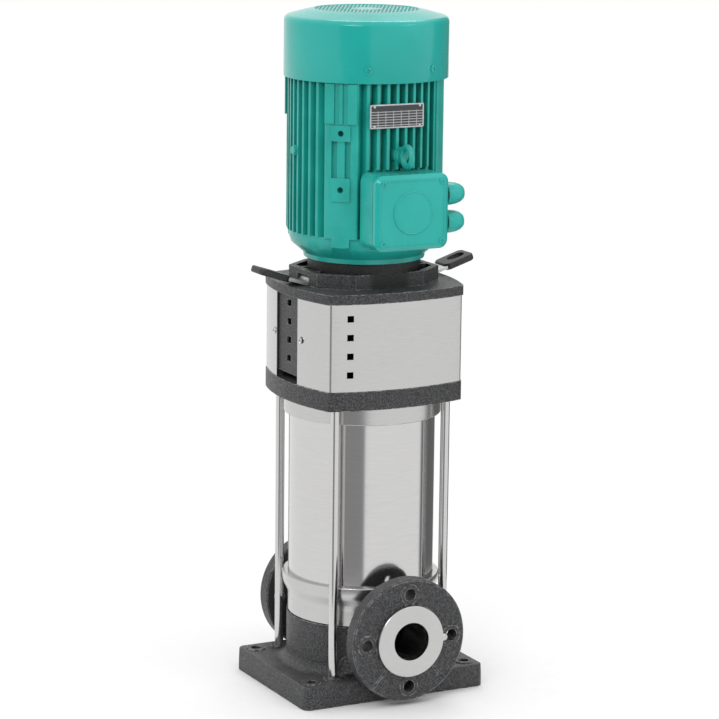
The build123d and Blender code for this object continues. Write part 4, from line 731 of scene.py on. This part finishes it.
def fan_cover_grille():
    sheet = grown(bpy.data.meshes.new("empty"), LATTICE_TREE, {
        "Outer Radius": LIP_RADIUS + 1.0 * MM, "Inner Radius": HUB_RADIUS - 2.0 * MM,
        "Pitch": 5.6 * MM, "Opening": 0.78, "Thickness": 1.0 * MM, "Finish": SMOOTH_TEAL})
    sheet.transform(Matrix.Translation((0.0, 0.0, COVER_HIGH.z - 1.7 * MM)))
    smooth_mesh(sheet, 30.0)
    finish_piece(sheet, "fan_cover_grille", "root", COVER_SLOT, SMOOTH_TEAL)


def fan_cover_centre():
    """The plain domed disc in the middle of the grille."""
    top, hole = COVER_HIGH.z, 0.02 * MM
    domed = [(hole, top - 2.0 * MM), (HUB_RADIUS, top - 2.0 * MM), (HUB_RADIUS, top - 0.8 * MM),
             (HUB_RADIUS - 0.6 * MM, top - 0.4 * MM), (HUB_RADIUS * 0.6, top - 0.1 * MM), (hole, top)]
    plate = lathed("fan_cover_centre", domed, 64)
    finish_piece(plate, "fan_cover_centre", "root", COVER_SLOT, SMOOTH_TEAL)


# ---------------------------------------------------------------- small detail

def pierced_plate(work, place, across, up, columns, rows, open_cells, thickness):
    """A plate on a grid of column and row lines, open where a cell is named, with a wall behind."""
    away = across.cross(up).normalized() * thickness
    corners = {}

    def corner(column, row, back):
        if (column, row, back) not in corners:
            spot = place + across * columns[column] + up * rows[row] + away * back
            corners[column, row, back] = work.verts.new(spot)
        return corners[column, row, back]

    cells = {(column, row) for column in range(len(columns) - 1) for row in range(len(rows) - 1)}
    solid = cells - set(open_cells)
    for column, row in solid:
        ring = [(column, row), (column + 1, row), (column + 1, row + 1), (column, row + 1)]
        for back in (0, 1):
            work.faces.new([corner(c, r, back) for c, r in ring])
        sides = zip(zip(ring, ring[1:] + ring[:1]), ((0, -1), (1, 0), (0, 1), (-1, 0)))
        for (first, second), beyond in sides:
            if (column + beyond[0], row + beyond[1]) not in solid:
                wall = [(*first, 0), (*second, 0), (*second, 1), (*first, 1)]
                work.faces.new([corner(*spot) for spot in wall])


def channel_plates():
    """Cast plate with four square vents in each gap between the two guards."""
    low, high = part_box("front_guard")
    half, vent, pitch = 34.0 * MM, 4.25 * MM, 24.7 * MM
    foot_gap, top_vent, set_back, thickness = 9.0 * MM, 11.0 * MM, 3.0 * MM, 2.5 * MM
    rows = [low.z + foot_gap]
    for step in (3, 2, 1, 0):
        middle = high.z - top_vent - step * pitch
        rows += [middle - vent, middle + vent]
    rows.append(high.z)
    columns = [-half, -1.3 * vent, 1.3 * vent, half]
    vents = [(1, row) for row in (1, 3, 5, 7)]
    work = bmesh.new()
    for side in (-1.0, 1.0):
        place = Vector((side * (high.x - set_back), 0.0, 0.0))
        across, up = Vector((0.0, -side, 0.0)), Vector((0.0, 0.0, 1.0))
        pierced_plate(work, place, across, up, columns, rows, vents, thickness)
    finish_piece(soft_edged(work, "channel_plates", 0.3 * MM), "channel_plates", "root", "cast_iron_dark")


def pad_strips():
    """Raised ribs on the upper part of the two foot pads of the motor body."""
    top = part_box("fan_cover")[0].z - 1.0 * MM
    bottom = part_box("stator_frame")[0].z + 149.0 * MM
    reach, thickness = 103.9 * MM, 2.4 * MM
    work = bmesh.new()
    for angle in (135.0, 225.0):
        out = Vector((math.cos(math.radians(angle)), math.sin(math.radians(angle)), 0.0))
        side = Vector((-out.y, out.x, 0.0))
        for shift, width in ((-15.5, 13.0), (0.0, 5.0), (15.5, 13.0)):
            middle = out * reach + side * (shift * MM)
            edges = (out * thickness, side * (width * MM), Vector((0.0, 0.0, top - bottom)))
            turned = Matrix(edges).transposed().to_4x4()
            centre = middle + Vector((0.0, 0.0, (top + bottom) / 2.0))
            bmesh.ops.create_cube(work, size=1.0, matrix=Matrix.Translation(centre) @ turned)
    finish_piece(soft_edged(work, "pad_strips", 0.7 * MM), "pad_strips", "root", "paint_teal")


def lid_middle():
    low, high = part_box("terminal_lid")
    return Vector(((low.x + high.x) / 2.0, low.y + 0.8 * MM, (low.z + high.z) / 2.0))


def lid_bead():
    """A raised round bead about the middle of the terminal lid."""
    middle, radius, thick = lid_middle(), 27.0 * MM, 1.5 * MM
    work = bmesh.new()
    loops = []
    for turn in full_turn(72):
        out = Vector((math.cos(turn), 0.0, math.sin(turn)))
        loops.append([work.verts.new(middle + out * (radius + thick * math.cos(roll))
                                     + Vector((0.0, thick * math.sin(roll), 0.0)))
                      for roll in full_turn(10)])
    join_loops(work, loops)
    finish_piece(outward_mesh(work, "lid_bead", 60.0), "lid_bead", "root", "plastic_teal", SMOOTH_TEAL)


def lid_border():
    """A raised border inside the bevel of the terminal lid."""
    low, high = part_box("terminal_lid")
    middle, inset, corner = lid_middle(), 7.5 * MM, 8.0 * MM
    half_x, half_z = (high.x - low.x) / 2.0 - inset, (high.z - low.z) / 2.0 - inset
    outline = []
    for turn, (sign_x, sign_z) in enumerate(((1, 1), (-1, 1), (-1, -1), (1, -1))):
        centre = (sign_x * (half_x - corner), sign_z * (half_z - corner))
        outline += arc(centre, corner, 90.0 * turn, 90.0 * turn + 90.0, 6)
    section = ((1.1, 0.3), (0.5, -0.7), (-0.5, -0.7), (-1.1, 0.3))
    work = bmesh.new()
    loops = []
    for x, z in outline:
        out = Vector((x, 0.0, z)).normalized()
        spot = Vector((middle.x + x, middle.y, middle.z + z))
        loops.append([work.verts.new(spot + out * (across * MM) + Vector((0.0, rise * MM, 0.0)))
                      for across, rise in section])
    join_loops(work, loops)
    finish_piece(outward_mesh(work, "lid_border", 60.0), "lid_border", "root", "plastic_teal", SMOOTH_TEAL)


def gland_turned(name, profile, rib=1.0, parts=96):
    """An outline of (share of radius, share of length) turned about each gland's axis.

    Every fourth line along the grip is drawn in to the rib's share."""
    low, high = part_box("cable_glands")
    length, radius, middle_y = high.x - low.x, (high.y - low.y) / 2.0, (low.y + high.y) / 2.0
    heights = sorted({round(sum((corner.z for corner in corners), 0.0) / len(corners), 4)
                      for corners, faces in solids_of("cable_glands")})
    work = bmesh.new()
    for height in heights:
        loops = []
        for index, turn in enumerate(full_turn(parts)):
            loop = []
            for reach, along in profile:
                wide = reach * radius * (rib if 0.3 < along < 0.9 and index % 4 == 0 else 1.0)
                loop.append(work.verts.new((low.x + along * length, middle_y + wide * math.cos(turn),
                                            height + wide * math.sin(turn))))
            loops.append(loop)
        join_loops(work, loops)
    return outward_mesh(work, name, 40.0)


def cable_gland_nuts():
    """Seat ring and ribbed dome nut that narrows to a blind end."""
    outline = [(0.02, 0.0), (0.9, 0.0), (0.9, 0.06), (0.72, 0.08), (0.72, 0.15), (0.98, 0.17), (1.0, 0.24),
               (0.99, 0.42), (0.93, 0.62), (0.8, 0.8), (0.6, 0.93), (0.36, 0.99), (0.02, 1.0)]
    nuts = gland_turned("cable_gland_nuts", outline, rib=0.985)
    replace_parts(finish_piece(nuts, "cable_gland_nuts", "root", "plastic_teal"), "cable_glands")


def cable_gland_seals():
    outline = [(0.7, 0.07), (0.84, 0.075), (0.86, 0.11), (0.84, 0.155), (0.7, 0.16)]
    seals = gland_turned("cable_gland_seals", outline)
    finish_piece(seals, "cable_gland_seals", "root", "plastic_teal", FINISHES["elastomer"])


# ---------------------------------------------------------------- skins of the CAD nodes

def dress(node, width=0.5, segments=2, material=None):
    """A CAD node's visible skin: the same form with edges softened by a width in mm, and its finish."""
    mesh = merged_copy(node)
    smooth_mesh(mesh)
    mesh = rounded(mesh, width * MM, segments)
    piece = finish_piece(mesh, node + "_skin", frame["nodes"][node]["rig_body"], SLOT_OF[node], material)
    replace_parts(piece, node)


def finish_frame():
    """Every CAD node gets its finish, whether or not another piece stands for it."""
    for name, node in frame["nodes"].items():
        for place in node.material_slots:
            place.material = FINISHES[SLOT_OF[name]]


# ---------------------------------------------------------------- stage

def studio_world():
    """A white studio with dark gaps between its soft boxes, which bright metal mirrors as bands."""
    world = bpy.data.worlds.new("studio")
    bpy.context.scene.world = world
    world.use_nodes = True
    graph = Graph(world.node_tree)
    axes = graph.axes(graph.node("ShaderNodeTexCoord").outputs["Generated"])
    heading = graph.math("ARCTAN2", axes["Y"], axes["X"])

    def gap(first, last, soft, dark):
        rise = graph.ramp(heading, math.radians(first - soft), math.radians(first + soft))
        fall = graph.ramp(heading, math.radians(last - soft), math.radians(last + soft), 1.0, 0.0)
        return graph.times(rise, fall, dark)

    gaps = graph.math("ADD", gap(-154.0, -112.0, soft=2.5, dark=0.68), gap(-10.0, 50.0, soft=3.0, dark=0.84))
    low_only = graph.ramp(axes["Z"], 0.35, 0.75, 1.0, 0.0)
    below = graph.ramp(axes["Z"], -0.9, -0.35, 0.55, 1.0)
    studio = graph.times(graph.rest(graph.times(gaps, low_only), clamp=True), below)
    rays = graph.node("ShaderNodeLightPath").outputs
    plain = graph.math("MAXIMUM", rays["Is Camera Ray"], rays["Is Transmission Ray"])
    level = graph.math("ADD", plain, graph.times(graph.rest(plain), studio))
    back = graph.node("ShaderNodeBackground", {"Color": WHITE, "Strength": level})
    graph.feed(graph.node("ShaderNodeOutputWorld").inputs["Surface"], back.outputs[0])


def soft_lamp(name, place, aim, size, power):
    data = bpy.data.lights.new(name, "AREA")
    data.shape = "RECTANGLE"
    data.size, data.size_y = size
    data.energy = power
    lamp = placed_object(name, data)
    lamp.location = place
    lamp.rotation_euler = (Vector(aim) - Vector(place)).to_track_quat("-Z", "Y").to_euler()


def pale_floor(radius):
    """Matt floor that turns to even white at its rim, for what the camera and mirrors see."""
    material = bpy.data.materials.new("pale_floor")
    material.use_nodes = True
    graph = Graph(material.node_tree)
    spot = graph.place()
    away = graph.node("ShaderNodeVectorMath", {0: spot}, operation="LENGTH").outputs["Value"]
    shade = graph.blend(graph.noise(spot, 60.0, 4.0, 0.6), grey(0.9), grey(0.94))
    matt = graph.node("ShaderNodeBsdfDiffuse", {"Color": shade}).outputs[0]
    glow = graph.node("ShaderNodeEmission", {"Color": WHITE, "Strength": 1.0}).outputs[0]
    rays = graph.node("ShaderNodeLightPath").outputs
    mirrored = graph.math("MAXIMUM", rays["Is Glossy Ray"], rays["Is Transmission Ray"])
    seen = graph.math("MAXIMUM", rays["Is Camera Ray"], mirrored)
    share = graph.times(graph.ramp(away, radius * 0.4, radius * 0.95), seen)
    mixed = graph.node("ShaderNodeMixShader", {0: share, 1: matt, 2: glow}).outputs[0]
    graph.feed(graph.node("ShaderNodeOutputMaterial").inputs["Surface"], mixed)
    return material


def floor_disc(radius=0.6, parts=64, drop=0.0003):
    """Floor just under the base plate. It keeps the pump's shadow."""
    work = bmesh.new()
    bmesh.ops.create_circle(work, cap_ends=True, segments=parts, radius=radius)
    mesh = bpy.data.meshes.new("floor")
    work.to_mesh(mesh)
    work.free()
    mesh.materials.append(pale_floor(radius))
    floor = placed_object("floor", mesh)
    floor.location.z = -drop


def aim_camera(place, turn, dip, roll, lens):
    """Camera at a place, turned from plus Y towards plus X, dipped and rolled, in degrees."""
    data = bpy.data.cameras.new("camera")
    data.lens = lens
    data.sensor_width = 36.0
    camera = placed_object("camera", data)
    turn, dip, roll = (math.radians(value) for value in (turn, dip, roll))
    ahead = Vector((math.sin(turn) * math.cos(dip), math.cos(turn) * math.cos(dip), -math.sin(dip)))
    right = Vector((math.cos(turn), -math.sin(turn), 0.0))
    up = right.cross(ahead)
    tilted_right = right * math.cos(roll) + up * math.sin(roll)
    tilted_up = up * math.cos(roll) - right * math.sin(roll)
    turned = Matrix((tilted_right, tilted_up, -ahead)).transposed().to_4x4()
    camera.matrix_world = Matrix.Translation(place) @ turned
    bpy.context.scene.camera = camera


# ---------------------------------------------------------------- the pump

finish_frame()
aim_camera((-1.79167, -3.46212, 1.22784), turn=27.3, dip=11.41, roll=0.663, lens=149.05)
studio_world()
floor_disc()
soft_lamp("key", place=(-2.2, -2.0, 2.4), aim=(0.0, 0.0, 0.45), size=(1.3, 1.0), power=25.0)
soft_lamp("side", place=(1.6, -2.4, 2.2), aim=(0.0, 0.0, 0.6), size=(1.1, 0.3), power=6.0)
soft_lamp("top", place=(0.9, 1.1, 2.7), aim=(0.0, 0.0, 0.6), size=(1.6, 0.5), power=14.0)

for casting in ("pump_foot", "inlet_flange", "outlet_flange"):
    dress(casting, 0.8)
# the lantern gets the casting with painted shade on its motor seat
dress("lantern", 0.8, material=SHADED_SEAT_CASTING)
for sheet in ("lower_housing", "pump_head", "front_guard", "rear_guard", "port_collars"):
    dress(sheet, 0.3)
for turned in ("outer_sleeve", "tie_rods"):
    dress(turned, 0.3)
for fitting in ("rod_washers", "rod_nuts", "vent_plug", "handle_pins", "motor_bolts", "nameplate_rivets"):
    dress(fitting, 0.25)
for strap in ("left_handle_strap", "right_handle_strap"):
    dress(strap, 0.3, material=SATIN_STEEL)
dress("drain_plug", 0.4, material=FINISHES["cast_iron_dark"])
for painted in ("motor_flange", "stator_frame", "upper_shield", "terminal_box", "eye_bolt", "earth_screw"):
    dress(painted, 0.4)
screws("guard_screws", grow=1.3)
screws("lid_screws", grow=1.25, finish=SMOOTH_TEAL)
screws("cover_screws", grow=1.25, finish=SMOOTH_TEAL)
channel_plates()
pad_strips()
lid_bead()
lid_border()
cable_gland_nuts()
cable_gland_seals()
dress("terminal_lid", 0.5, 3, SMOOTH_TEAL)
fan_cover_skin()
fan_cover_grille()
fan_cover_centre()
dress("terminal_gasket", 0.2, 1)
dress("left_handle_grip", 0.8, 3)
dress("right_handle_grip", 0.8, 3)
dress("nameplate", 0.2)

scene = bpy.context.scene
scene.view_settings.view_transform = "Standard"
